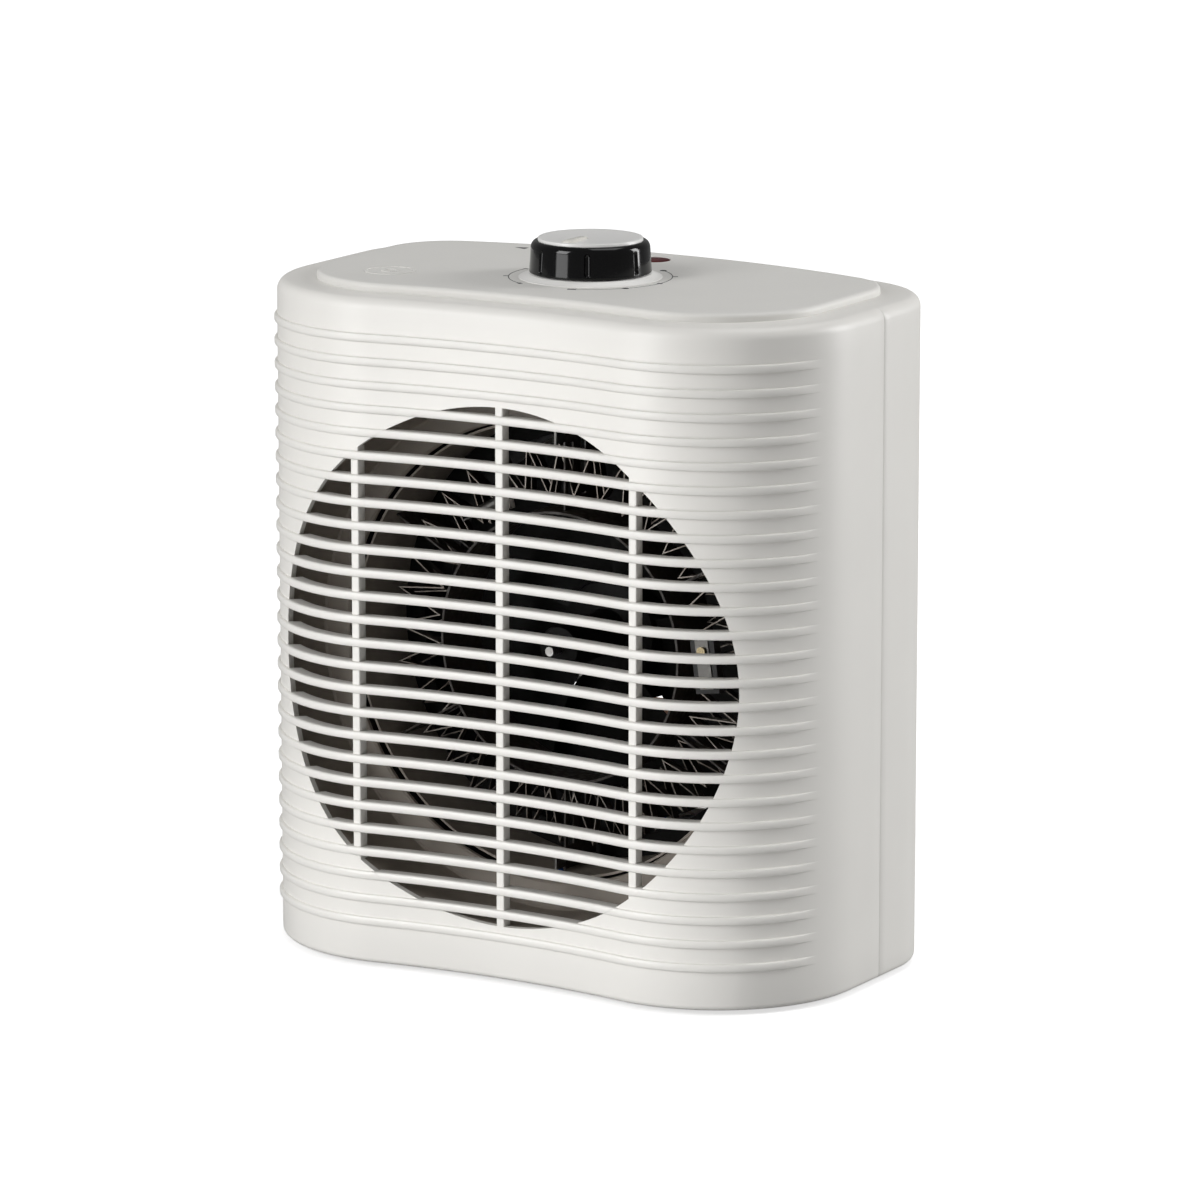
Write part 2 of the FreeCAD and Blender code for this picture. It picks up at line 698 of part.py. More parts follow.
def switchSpindle():
    """The spindle, from its pivot in the switch base up into the knob."""
    body = newBody("SwitchSpindle")
    sketch = newSketch(body, "top", switchFloor + d.switchBase * 0.6)
    circle(sketch, 0.0, 0.0, d.spindleRadius)
    pad(body, sketch, knobTop - d.knobWall - switchFloor - d.switchBase * 0.6)
    flat = newSketch(body, "top", knobTop - d.knobWall)
    beyond = d.spindleRadius * 1.5
    rectangle(flat, d.spindleRadius * 0.6, -beyond, beyond, beyond)
    pocket(body, flat, d.knobHeight - d.knobWall)
    seat(body, "switch_spindle", y=d.knobY)


def switchCam():
    """The cam disc on the spindle, with one notch that works the contacts."""
    body = newBody("SwitchCam")
    sketch = newSketch(body, "top", camBottom - d.camGap)
    circle(sketch, 0.0, 0.0, d.camRadius)
    circle(sketch, 0.0, 0.0, d.spindleRadius)
    pad(body, sketch, d.camThick)
    notch = newSketch(body, "top", camBottom - d.camGap)
    circle(notch, 0.0, -d.camRadius, d.camThick / 2)
    pocket(body, notch, d.camThick, reverse=True)
    seat(body, "switch_cam", y=d.knobY)


def knobSkirt():
    """A black cup knob with seven narrow grip grooves and a D-shaped hub."""
    body = spun("KnobSkirt", [(0.0, knobBottom), (d.knobRadius, knobBottom),
                              (d.knobTopRadius, knobTop - d.knobEdge),
                              (d.knobTopRadius - d.knobEdge * 0.3, knobTop - d.knobEdge * 0.3),
                              (d.knobTopRadius - d.knobEdge, knobTop), (0.0, knobTop)])
    hollow = newSketch(body, "top", knobBottom)
    circle(hollow, 0.0, 0.0, d.knobTopRadius - d.knobWall)
    circle(hollow, 0.0, 0.0, d.spindleRadius * 1.7)
    pocket(body, hollow, d.knobHeight - d.knobWall, reverse=True)
    bore = newSketch(body, "top", knobBottom)
    circle(bore, 0.0, 0.0, d.spindleRadius)
    pocket(body, bore, d.knobHeight - d.knobWall, reverse=True)
    key = newSketch(body, "top", knobBottom)
    rectangle(key, d.spindleRadius * 0.6, -d.spindleRadius, d.spindleRadius * 1.2, d.spindleRadius)
    pad(body, key, d.knobHeight - d.knobWall / 2)
    groove = newSketch(body, "top", knobBottom)
    reach = d.knobRadius + d.gripWidth - d.gripDepth
    circle(groove, 0.0, -reach, d.gripWidth)
    cut = pocket(body, groove, d.knobHeight - d.knobEdge, reverse=True)
    around(body, cut, groove, d.gripCount)
    seat(body, "knob_skirt", y=d.knobY)


def knobCap():
    """The pale disc on the knob, with its pointer ridge."""
    body = newBody("KnobCap")
    disc = newSketch(body, "top", knobTop)
    circle(disc, 0.0, 0.0, d.capRadius)
    pad(body, disc, d.capThick)
    softenAt(body, knobTop + d.capThick, d.capThick / 4)
    ridge = newSketch(body, "top", knobTop + d.capThick)
    half = d.pointerWidth / 2
    rectangle(ridge, -half, -d.capRadius * 0.92, half, d.capRadius * 0.3)
    pad(body, ridge, d.pointerHeight)
    seat(body, "knob_cap", y=d.knobY)


# ---------------------------------------------------------------- feet, fasteners and cord inlet

def rubberFeet():
    body = newBody("RubberFeet")
    for radius, long, way in ((d.footRadius, d.footGap, True), (d.footStud, d.wallThick + 1.0, False)):
        sketch = newSketch(body)
        for side in (-1, 1):
            for y in (d.footFrontY, d.footRearY):
                circle(sketch, side * footX, y, radius)
        pad(body, sketch, long, reverse=way)
    seat(body, "rubber_feet")


def caseScrews():
    """Four long screws from the back into the front shell's bosses."""
    body = newBody("CaseScrews")
    shank = (d.screwRadius, caseScrewLong, False)
    head = (d.caseScrewHead, d.screwHeadHigh * 2, True)
    for radius, long, way in (shank, head):
        sketch = newSketch(body, "front", bossBack)
        for x, z in bossPlaces:
            circle(sketch, x, z, radius)
        pad(body, sketch, long, reverse=way)
    seat(body, "case_screws")


def cordGland():
    """The bushing in the back that a mains cord would enter by."""
    skin = d.caseDepth
    outer = skin + d.glandLip
    inner = outer - d.glandLong
    body = revolved("CordGland", [(d.glandBore, inner), (d.glandRadius, inner), (d.glandRadius, skin),
                                  (d.glandFlange, skin), (d.glandFlange - 1.0, outer),
                                  (d.glandBore, outer)])
    seat(body, "cord_gland", z=d.inletZ)


def terminalBlock():
    """The block where cord and inner wires meet, on the floor beside the inlet."""
    half = d.blockLong / 2
    body = block("TerminalBlock", -half, blockFront, d.wallThick, half, blockFront + d.blockDeep,
                 d.wallThick + d.blockHigh)
    holes = newSketch(body, "front", blockFront)
    for side in (-1, 0, 1):
        circle(holes, side * d.blockLong / 3, d.wallThick + d.blockHigh / 2, d.wireRadius * 1.6)
    pocket(body, holes, d.blockDeep)
    seat(body, "terminal_block")


def blockScrews():
    """Clamp screws down into the terminal block, over each way."""
    body = newBody("BlockScrews")
    top = d.wallThick + d.blockHigh
    middle = blockFront + d.blockDeep / 2
    sketch = newSketch(body, "top", top)
    for side in (-1, 0, 1):
        circle(sketch, side * d.blockLong / 3, middle, d.screwHead * 0.8)
    pad(body, sketch, d.screwHeadHigh)
    seat(body, "block_screws")


# ---------------------------------------------------------------- air path

shroudRadius = outletRadius - d.shroudInset
cupRadius = shroudRadius + d.shroudWall + d.cupGap
tunnelRadius = shroudRadius - d.tunnelInset
fanRadius = tunnelRadius - d.fanTipGap
ribbonOuter = shroudRadius - d.ribbonInset
ribbonInner = ribbonOuter - d.ribbonWide
coreRadius = ribbonInner - d.coreGap
coreOuter = coreRadius + d.coreWall
lugRadius = shroudRadius - 1.0
wireHoleY = d.micaFront - d.lugLong / 4


def outletDuct():
    """The short tunnel behind the front opening, ending in a flat ring."""
    inner = outletRadius + d.ductGap
    outer = inner + d.ductWall
    tunnel = revolved("OutletDuct", [(inner, -d.cornerRadius), (outer, -d.cornerRadius),
                                     (outer, d.ductBack + d.ductWall),
                                     (cupRadius, d.ductBack + d.ductWall),
                                     (cupRadius, d.ductBack), (inner, d.ductBack)])
    shift(tunnel, z=outletHeight)
    cavity = newBody("DuctSpace")
    plan = newSketch(cavity)
    outline(plan, d.wallThick)
    pad(cavity, plan, d.caseHeight)
    seat(combine("Common", "OutletDuct", tunnel, cavity), "outlet_duct")


def fanHousing():
    """The tube round element and fan, with spokes and a disc that carry the motor."""
    front = d.ductBack + d.ductWall
    outer = tunnelRadius + d.housingWall
    cup = cupRadius + d.housingWall
    body = revolved("FanHousing", [(cupRadius, front), (cup, front), (cup, d.housingStep + d.housingWall),
                                   (outer, d.housingStep + d.housingWall), (outer, d.housingBack),
                                   (tunnelRadius, d.housingBack), (tunnelRadius, d.housingStep),
                                   (cupRadius, d.housingStep)])
    disc = newSketch(body, "front", d.housingBack)
    circle(disc, 0.0, 0.0, d.hubDiscRadius)
    circle(disc, 0.0, 0.0, d.hubDiscBore)
    pad(body, disc, d.spokeThick)
    arm = newSketch(body, "front", d.housingBack)
    half = d.spokeWidth / 2
    rectangle(arm, -half, d.hubDiscRadius - 2.0, half, tunnelRadius + d.housingWall / 2)
    around(body, pad(body, arm, d.spokeThick), arm, d.spokeCount)
    drill = newSketch(body, "front", d.housingBack)
    for side in (-1, 1):
        circle(drill, side * d.bridgeSpan, 0.0, d.screwRadius)
    pocket(body, drill, d.spokeThick * 2, both=True)
    wireHoles(body, d.wireRadius * 2)
    seat(body, "fan_housing", z=outletHeight)


def wireHoles(body, radius):
    """Holes above and below for the element's two wires."""
    sketch = newSketch(body, "top")
    circle(sketch, 0.0, wireHoleY, radius)
    pocket(body, sketch, outletRadius * 4, both=True)


def elementShroud():
    body = tube("ElementShroud", shroudRadius, shroudRadius + d.shroudWall, d.shroudFront, d.housingStep)
    wireHoles(body, d.wireRadius * 1.5)
    seat(body, "element_shroud", z=outletHeight)


# ---------------------------------------------------------------- heating element

def micaCore():
    body = tube("MicaCore", coreRadius, coreOuter, d.coreFront, d.coreBack)
    seat(body, "mica_core", z=outletHeight)


def micaBlades():
    """Flat radial boards, each with two windows that carry the ribbons."""
    for number in range(d.micaCount.number):
        body = newBody("MicaBlade%d" % (number + 1))
        sketch = newSketch(body)
        rectangle(sketch, coreOuter, d.micaFront, shroudRadius, d.micaBack)
        for y in (d.frontRibbonY, d.rearRibbonY):
            rectangle(sketch, ribbonInner - 1.0, y, ribbonOuter + 1.0, y + d.ribbonHigh + d.ribbonGap)
        pad(body, sketch, d.micaThick, both=True)
        turn = FreeCAD.Rotation(FreeCAD.Vector(0, 1, 0), 360.0 * (number + 0.5) / d.micaCount.number)
        seat(body, "mica_blade_%d" % (number + 1), z=outletHeight, turn=turn)


def ribbon(name, y, lead):
    """A flat metal ribbon folded to and fro between two radii all round the element."""
    folds = int(d.ribbonFolds.number)
    half = d.ribbonThick.number / 2
    inner, outer = ribbonInner.number, ribbonOuter.number
    step = 2 * math.pi / folds
    middle = []
    for fold in range(folds - 1):
        angle = lead + fold * step
        radius = outer if fold % 2 else inner
        middle.append(FreeCAD.Vector(radius * math.cos(angle), 0, radius * math.sin(angle)))
    sides = ([], [])
    for index, corner in enumerate(middle):
        before = middle[max(index - 1, 0)]
        after = middle[min(index + 1, len(middle) - 1)]
        along = (after - before).normalize()
        if 0 < index < len(middle) - 1:
            across = corner * (1.0 / corner.Length)
            first = (corner - before).normalize()
            spread = half / abs(first.dot(FreeCAD.Vector(-across.z, 0, across.x)))
        else:
            across = FreeCAD.Vector(-along.z, 0, along.x)
            spread = half
        flip = 1.0 if along.dot(FreeCAD.Vector(-across.z, 0, across.x)) > 0 else -1.0
        sides[0].append(corner + across * spread * flip)
        sides[1].append(corner - across * spread * flip)
    loop = sides[0] + sides[1][::-1]
    raised = [corner + FreeCAD.Vector(0, y.number, 0) for corner in loop]
    face = Part.Face(Part.makePolygon(raised + [raised[0]]))
    item = doc.addObject("Part::Feature", name.title().replace("_", ""))
    item.Shape = face.extrude(FreeCAD.Vector(0, d.ribbonHigh.number, 0))
    seat(item, name, z=outletHeight)


def thermalCutout():
    """A ceramic block on the element's front edge that carries the cut-out's bimetal strip."""
    low = d.micaFront - d.cutoutThick
    body = block("CutoutBase", -d.cutoutWide / 2, low, -d.cutoutLong / 2,
                 d.cutoutWide / 2, d.micaFront, d.cutoutLong / 2)
    turn = FreeCAD.Rotation(FreeCAD.Vector(0, 1, 0), -8.0)
    seat(body, "cutout_base", x=d.cutoutRadius, z=outletHeight, turn=turn)
    strip = block("BimetalStrip", -d.stripWide / 2, low - d.stripThick, -d.cutoutLong * 0.42,
                  d.stripWide / 2, low, d.cutoutLong * 0.62)
    seat(strip, "bimetal_strip", x=d.cutoutRadius, z=outletHeight, turn=turn)
    rivets = newBody("CutoutRivets")
    sketch = newSketch(rivets, "front", low - d.stripThick)
    for side in (-1, 1):
        circle(sketch, 0.0, side * d.cutoutLong * 0.3, d.rivetRadius)
    pad(rivets, sketch, d.screwHeadHigh)
    seat(rivets, "cutout_rivets", x=d.cutoutRadius, z=outletHeight, turn=turn)


def thermalFuse():
    """A one-shot fuse on the element's front edge, with its two leads."""
    body = newBody("ThermalFuse")
    for radius, long in ((d.fuseRadius, d.fuseLong), (0.5, d.fuseLong * 2)):
        sketch = newSketch(body)
        circle(sketch, 0.0, d.micaFront - d.fuseRadius, radius)
        pad(body, sketch, long, both=True)
    turn = FreeCAD.Rotation(FreeCAD.Vector(0, 1, 0), 60.0)
    seat(body, "thermal_fuse", x=-d.cutoutRadius / 2, z=outletHeight + d.cutoutRadius * 0.8, turn=turn)


def elementLugs():
    """Two push-on lugs on the front edges of the top and bottom boards."""
    body = newBody("ElementLugs")
    sketch = newSketch(body)
    rectangle(sketch, lugRadius - d.lugWide, d.micaFront - d.lugLong / 2, lugRadius, d.micaFront)
    item = pad(body, sketch, d.lugThick, both=True)
    around(body, item, sketch, 2, "V_Axis")
    turn = FreeCAD.Rotation(FreeCAD.Vector(0, 1, 0), 90.0)
    seat(body, "element_lugs", z=outletHeight, turn=turn)


# ---------------------------------------------------------------- fan and motor

def fanRotor():
    """An axial fan: long front boss through the open element, hub and pitched blades."""
    body = revolved("FanRotor", [(d.shaftRadius, d.bossFace), (d.bossOuter, d.bossFace),
                                 (d.bossOuter, d.fanBack - d.bladeAxial),
                                 (d.fanHubRadius, d.fanBack - d.bladeAxial + 2.0),
                                 (d.fanHubRadius, d.fanBack),
                                 (d.fanHubRadius - d.fanHubWall, d.fanBack),
                                 (d.fanHubRadius - d.fanHubWall, d.fanBack - d.bladeAxial + 4.0),
                                 (d.shaftRadius, d.fanBack - d.bladeAxial + 4.0)])
    half = d.bladeChord / 2
    inner = d.fanHubRadius - d.fanHubWall / 2
    blade = newSketch(body, "top", inner)
    front = d.fanBack - d.bladeAxial + 2.0
    polygon(blade, [(-half, front), (half, d.fanBack - d.bladeThick), (half, d.fanBack),
                    (-half, front + d.bladeThick)])
    item = pad(body, blade, root(fanRadius * fanRadius - half * half) - inner)
    around(body, item, body.Group[0], d.bladeCount, "V_Axis")
    seat(body, "fan_rotor", z=outletHeight)


def motorShaft():
    seat(rod("MotorShaft", d.shaftRadius, d.shaftNose, d.shaftTail), "motor_shaft", z=outletHeight)


def motorRotor():
    body = tube("MotorRotor", d.shaftRadius, d.rotorRadius, d.stackFront - d.rotorOver,
                d.stackFront + d.stackThick + d.rotorOver)
    seat(body, "motor_rotor", z=outletHeight)


def motorStator():
    """The stack of laminations, with the rotor's bore above and the coil's window below."""
    body = newBody("MotorStator")
    sketch = newSketch(body, "front", d.stackFront)
    wide = d.stackHalfWidth
    rectangle(sketch, -wide, -d.stackBottom, wide, d.stackTop)
    rectangle(sketch, -d.windowHalfWidth, d.stackWindow - d.stackBottom, d.windowHalfWidth, -d.windowTop)
    circle(sketch, 0.0, 0.0, d.rotorRadius + d.airGap)
    for side in (-1, 1):
        circle(sketch, side * d.bridgeSpan, 0.0, d.screwRadius)
        circle(sketch, side * d.bridgeSpan * 0.6, d.stackTop - 4.5, d.shadeWide)
    pad(body, sketch, d.stackThick, reverse=True)
    seat(body, "motor_stator", z=outletHeight)


def coilParts():
    """Bobbin and winding round the stator's lower leg."""
    y0, y1 = d.stackFront, d.stackFront + d.stackThick
    z0, z1 = -d.stackBottom, d.stackWindow - d.stackBottom
    layers = (("CoilBobbin", "coil_bobbin", 0.0, d.coilWall),
              ("MotorCoil", "motor_coil", d.coilWall, d.coilOver))
    for label, node, inside, outside in layers:
        body = newBody(label)
        sketch = newSketch(body, "side")
        rectangle(sketch, y0 - outside, z0 - outside, y1 + outside, z1 + outside)
        rectangle(sketch, y0 - inside, z0 - inside, y1 + inside, z1 + inside)
        pad(body, sketch, d.coilHalfLength * 2, both=True)
        seat(body, node, z=outletHeight)


def shadingRings():
    """Two copper loops through the laminations beside the bore."""
    body = newBody("ShadingRings")
    sketch = newSketch(body, "front", d.stackFront - d.shadeWide)
    for side in (-1, 1):
        circle(sketch, side * d.bridgeSpan * 0.6, d.stackTop - 4.5, d.shadeWide)
    pad(body, sketch, d.stackThick + d.shadeWide * 2, reverse=True)
    seat(body, "shading_rings", z=outletHeight)


def bridge(label, node, strapY, legFrom, legTo):
    """A strap across the rotor with a bearing seat and two spacer legs."""
    body = newBody(label)
    strap = newSketch(body, "front", strapY)
    half = d.bridgeWidth / 2
    reach = d.bridgeSpan + d.bridgePad
    rectangle(strap, -reach, -half, reach, half)
    circle(strap, 0.0, 0.0, d.bushRadius)
    for side in (-1, 1):
        circle(strap, side * d.bridgeSpan, 0.0, d.screwRadius)
    pad(body, strap, d.bridgeThick, reverse=True)
    legs = newSketch(body, "front", legFrom)
    for side in (-1, 1):
        circle(legs, side * d.bridgeSpan, 0.0, d.bridgePad)
        circle(legs, side * d.bridgeSpan, 0.0, d.screwRadius)
    pad(body, legs, legTo - legFrom, reverse=True)
    seat(body, node, z=outletHeight)


def bridges():
    stackBack = d.stackFront + d.stackThick
    bridge("FrontBridge", "front_bridge", d.housingBack, d.housingBack + d.bridgeThick, d.stackFront)
    rearStrap = stackBack + d.coilOver
    bridge("RearBridge", "rear_bridge", rearStrap, stackBack, rearStrap)
    for label, node, y in (("FrontBush", "front_bush", d.housingBack + d.bridgeThick / 2),
                           ("RearBush", "rear_bush", rearStrap + d.bridgeThick / 2)):
        body = tube(label, d.shaftRadius + d.shaftGap, d.bushRadius, y - d.bushHalf, y + d.bushHalf)
        seat(body, node, z=outletHeight)


def motorScrews():
    """Two long screws through both bridges and the stator into the housing's disc."""
    body = newBody("MotorScrews")
    rear = d.stackFront + d.stackThick + d.coilOver + d.bridgeThick
    front = d.housingBack - d.spokeThick
    for radius, y, long, way in ((d.screwRadius, front, rear - front, True),
                                 (d.motorScrewHead, rear, d.screwHeadHigh, True)):
        sketch = newSketch(body, "front", y)
        for side in (-1, 1):
            circle(sketch, side * d.bridgeSpan, 0.0, radius)
        pad(body, sketch, long, reverse=way)
    seat(body, "motor_screws", z=outletHeight)


# ---------------------------------------------------------------- wiring

def wire(node, corners):
    """A round wire along straight runs joined by tangent arcs."""
    route = [point(*corner) for corner in corners]
    edges = []
    start = route[0]
    for before, corner, after in zip(route, route[1:], route[2:]):
        back = before - corner
        ahead = after - corner
        turn = math.pi - back.getAngle(ahead)
        trim = 0.45 * min(back.Length, ahead.Length)
        back.normalize()
        ahead.normalize()
        enter = corner + back * trim
        leave = corner + ahead * trim
        bisect = (back + ahead).normalize()
        radius = trim / math.tan(turn / 2)
        centre = corner + bisect * (radius / math.cos(turn / 2))
        edges.append(Part.LineSegment(start, enter).toShape())
        edges.append(Part.Arc(enter, centre - bisect * radius, leave).toShape())
        start = leave
    edges.append(Part.LineSegment(start, route[-1]).toShape())
    path = Part.Wire(edges)
    ring = Part.Circle(route[0], route[1] - route[0], d.wireRadius.number).toShape()
    item = doc.addObject("Part::Feature", node.title().replace("_", ""))
    item.Shape = path.makePipeShell([Part.Wire([ring])], True, False)
    expected = path.Length * math.pi * d.wireRadius.number ** 2
    print(node, "length", round(path.Length, 1), "volume ratio", round(item.Shape.Volume / expected, 4))
    seat(item, node)


def wiring():
    """Wires from block to switch, block and switch to element, and block to motor."""
    terminalZ = switchFloor - d.lugReach
    blockZ = d.wallThick + d.blockHigh / 2
    blockX = d.blockLong / 3
    blockRear = blockFront + d.blockDeep
    side = d.caseHalfWidth - 15.0
    wire("supply_wire", [(-blockX, blockFront, blockZ), (-blockX, blockFront - 6.0, blockZ),
                         (-blockX - 28.0, blockFront - 8.0, blockZ),
                         (-side + 14.0, blockFront - 7.0, blockZ + 16.0),
                         (-side, blockFront - 8.0, outletHeight - 48.0),
                         (-side, blockFront - 10.0, outletHeight + 8.0),
                         (-side + 6.0, blockFront - 14.0, outletHeight + 60.0),
                         (-side / 2 - 8.0, blockFront - 20.0, terminalZ - 4.0),
                         (-switchX - 6.0, d.knobY + 2.0, terminalZ - 9.0),
                         (-switchX + 5.0, d.knobY, terminalZ - 5.0), (-switchX + 5.0, d.knobY, terminalZ)])
    wire("neutral_wire", [(blockX, blockFront, blockZ), (blockX, blockFront - 8.0, blockZ),
                          (blockX / 2, wireHoleY + 14.0, blockZ + 2.0), (0.0, wireHoleY, blockZ + 6.0),
                          (0.0, wireHoleY, outletHeight - lugRadius)])
    wire("element_wire", [(-switchX / 3, d.knobY, terminalZ), (-switchX / 3, d.knobY, terminalZ - 5.0),
                          (-switchX / 6, wireHoleY + 8.0, terminalZ - 8.0),
                          (0.0, wireHoleY, terminalZ - 12.0),
                          (0.0, wireHoleY, outletHeight + lugRadius)])
    coilBottom = outletHeight - d.stackBottom - d.coilOver
    wire("motor_wire", [(0.0, blockRear, blockZ), (0.0, blockRear + 6.0, blockZ),
                        (0.0, blockRear + 9.0, blockZ + 12.0), (0.0, blockRear + 9.0, coilBottom)])


# ---------------------------------------------------------------- build, test and write

makers = [frontShell, rearShell, frontGrille, rearGrille, topPanel, knobCollar, pilotLens, pilotLamp,
          switchBody, switchBase, switchTerminals, switchScrews, switchSpindle, switchCam, knobSkirt,
          knobCap, rubberFeet, caseScrews, cordGland, terminalBlock, blockScrews, outletDuct, fanHousing,
          elementShroud, micaCore, micaBlades, thermalCutout, thermalFuse, elementLugs, fanRotor,
          motorShaft, motorRotor, motorStator, coilParts, shadingRings, bridges, motorScrews, wiring]
for maker in makers:
    maker()
ribbon("front_ribbon", d.frontRibbonY, 0.0)
ribbon("rear_ribbon", d.rearRibbonY, math.pi / d.ribbonFolds.number)
doc.recompute()

for item in doc.Objects:
    if "Invalid" in item.State or "Error" in item.State:
        raise RuntimeError("failed feature: " + item.Name)
for name, item in parts.items():
    if item.Shape.isNull() or not item.Shape.isValid() or not item.Shape.Solids:
        raise RuntimeError("bad shape: " + name)

os.makedirs("parts", exist_ok=True)
for name, item in parts.items():
    item.Shape.exportStep("parts/%s.step" % name)
print(len(parts), "sub-parts written")
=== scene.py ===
import json
import math

import bpy
import bmesh
import numpy as np
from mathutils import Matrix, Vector


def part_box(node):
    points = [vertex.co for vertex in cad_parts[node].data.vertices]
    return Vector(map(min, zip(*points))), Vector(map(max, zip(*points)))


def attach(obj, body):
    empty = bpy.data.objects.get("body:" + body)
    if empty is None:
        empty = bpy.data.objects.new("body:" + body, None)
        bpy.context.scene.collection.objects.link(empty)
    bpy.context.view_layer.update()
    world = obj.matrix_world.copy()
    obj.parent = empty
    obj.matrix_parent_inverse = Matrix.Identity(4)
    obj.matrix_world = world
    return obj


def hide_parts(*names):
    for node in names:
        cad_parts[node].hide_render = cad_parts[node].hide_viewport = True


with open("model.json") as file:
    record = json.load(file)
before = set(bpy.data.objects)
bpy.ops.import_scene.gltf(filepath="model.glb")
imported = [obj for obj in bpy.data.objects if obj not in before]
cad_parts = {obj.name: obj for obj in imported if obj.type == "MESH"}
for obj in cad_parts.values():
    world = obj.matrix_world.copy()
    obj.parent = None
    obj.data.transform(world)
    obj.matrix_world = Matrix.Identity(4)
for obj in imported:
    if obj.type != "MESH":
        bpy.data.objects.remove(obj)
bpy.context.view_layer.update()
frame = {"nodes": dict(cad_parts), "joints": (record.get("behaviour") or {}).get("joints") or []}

mm = 0.001                                                          # lengths below are in metres


def boxOf(node):
    low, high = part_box(node)
    return np.array(low, float), np.array(high, float)


shellLow, shellHigh = boxOf("front_shell")
rearLow, rearHigh = boxOf("rear_shell")
panelHigh = boxOf("top_panel")[1]
knobLow, knobHigh = boxOf("knob_skirt")
capLow, capHigh = boxOf("knob_cap")
lensLow, lensHigh = boxOf("pilot_lens")
axes = {joint["name"]: np.array(joint["pos_m"], float) for joint in frame["joints"]}
fanAxis, knobAxis = axes["fan_spin"], axes["knob_turn"]

case = {
    "halfWidth": rearHigh[0], "floor": shellLow[2], "top": shellHigh[2], "seam": rearLow[1],
    "back": boxOf("rear_grille")[1][1], "wall": 2.4 * mm, "ribProud": 1.1 * mm,
    "corner": 51.8 * mm, "bulge": 4.5 * mm, "rearCorner": 37.4 * mm, "rearArc": 287 * mm,
    "rim": 4.0 * mm, "base": 2.0 * mm, "seamGroove": 0.28 * mm, "plate": 12 * mm,
}
case["front"] = shellLow[1] + case["ribProud"] + case["bulge"]      # the middle of the hollow front
ribs = {"first": 14.8 * mm, "last": 214.8 * mm, "count": 26, "half": 1.45 * mm,
        "fadeStart": 20.0, "fadeEnd": 36.0}                         # degrees round each front corner
print("frame loaded: case", round(case["halfWidth"] * 2, 4), "wide,", round(case["top"], 4), "high")


# An object at the origin, from an (n, 3) array of points and an (m, 4) array of corner numbers.
def addMesh(name, points, faces):
    mesh = bpy.data.meshes.new(name)
    points = np.asarray(points, np.float32)
    faces = np.asarray(faces, np.int32)
    sides = faces.shape[1]
    mesh.vertices.add(len(points))
    mesh.vertices.foreach_set("co", points.ravel())
    mesh.loops.add(faces.size)
    mesh.loops.foreach_set("vertex_index", faces.ravel())
    mesh.polygons.add(len(faces))
    mesh.polygons.foreach_set("loop_start", np.arange(0, faces.size, sides, dtype=np.int32))
    mesh.polygons.foreach_set("loop_total", np.full(len(faces), sides, np.int32))
    mesh.update(calc_edges=True)
    mesh.validate()
    piece = bpy.data.objects.new(name, mesh)
    bpy.context.scene.collection.objects.link(piece)
    return piece


# Quads of a grid whose point (row, column) is number row * columns + column.
def gridFaces(rows, columns, wrapRows=False, wrapColumns=False, start=0):
    down = np.arange(rows if wrapRows else rows - 1)
    along = np.arange(columns if wrapColumns else columns - 1)
    row, column = np.meshgrid(down, along, indexing="ij")
    nextRow, nextColumn = (row + 1) % rows, (column + 1) % columns
    corners = [row * columns + column, row * columns + nextColumn,
               nextRow * columns + nextColumn, nextRow * columns + column]
    return np.stack(corners, -1).reshape(-1, 4) + start


# Quads that close a loop of corner numbers by pairing its two halves.
def capFaces(loop):
    loop = np.asarray(loop)
    count = len(loop)
    near = np.arange(count // 2 - 1)
    return np.stack([loop[near], loop[near + 1], loop[count - 2 - near], loop[count - 1 - near]], -1)


# Merge doubles, turn every face outwards and shade smooth up to an angle in degrees.
def outward(piece, sharp=35.0):
    work = bmesh.new()
    work.from_mesh(piece.data)
    bmesh.ops.remove_doubles(work, verts=work.verts, dist=1e-6)
    bmesh.ops.dissolve_degenerate(work, edges=work.edges, dist=1e-7)
    bmesh.ops.recalc_face_normals(work, faces=work.faces)
    limit = math.radians(sharp)
    for edge in work.edges:
        edge.smooth = len(edge.link_faces) == 2 and edge.calc_face_angle(0.0) < limit
    work.to_mesh(piece.data)
    work.free()
    piece.data.polygons.foreach_set("use_smooth", np.ones(len(piece.data.polygons), bool))
    return piece


# Carve closed tools out of a closed piece, one at a time, and throw the tools away.
def cut(piece, tools):
    for tool in tools:
        carve = piece.modifiers.new("carve", "BOOLEAN")
        carve.operation = "DIFFERENCE"
        carve.solver = "EXACT"
        carve.object = tool
        graph = bpy.context.evaluated_depsgraph_get()
        finished = bpy.data.meshes.new_from_object(piece.evaluated_get(graph))
        piece.modifiers.clear()
        piece.data = finished
        bpy.data.objects.remove(tool)
    return piece


# Several pieces joined into one object.
def merge(pieces, name):
    bpy.ops.object.select_all(action="DESELECT")
    for piece in pieces:
        piece.select_set(True)
    bpy.context.view_layer.objects.active = pieces[0]
    bpy.ops.object.join()
    pieces[0].name = name
    return pieces[0]


# A solid of revolution: point (i, t) = centre + radius_i * (cos t, sin t) across the axis + height_i along it.
def turned(name, profile, centre, axis="z", steps=96, sharp=35.0):
    profile = np.asarray(profile, float)
    angle = np.linspace(0, 2 * math.pi, steps, endpoint=False)
    radius, height = profile[:, :1], profile[:, 1:]
    across, other = radius * np.cos(angle), radius * np.sin(angle)
    along = np.repeat(height, steps, 1)
    points = np.stack([across, other, along] if axis == "z" else [across, along, other], -1)
    points = points.reshape(-1, 3) + np.asarray(centre, float)
    return outward(addMesh(name, points, gridFaces(len(profile), steps, True, True)), sharp)


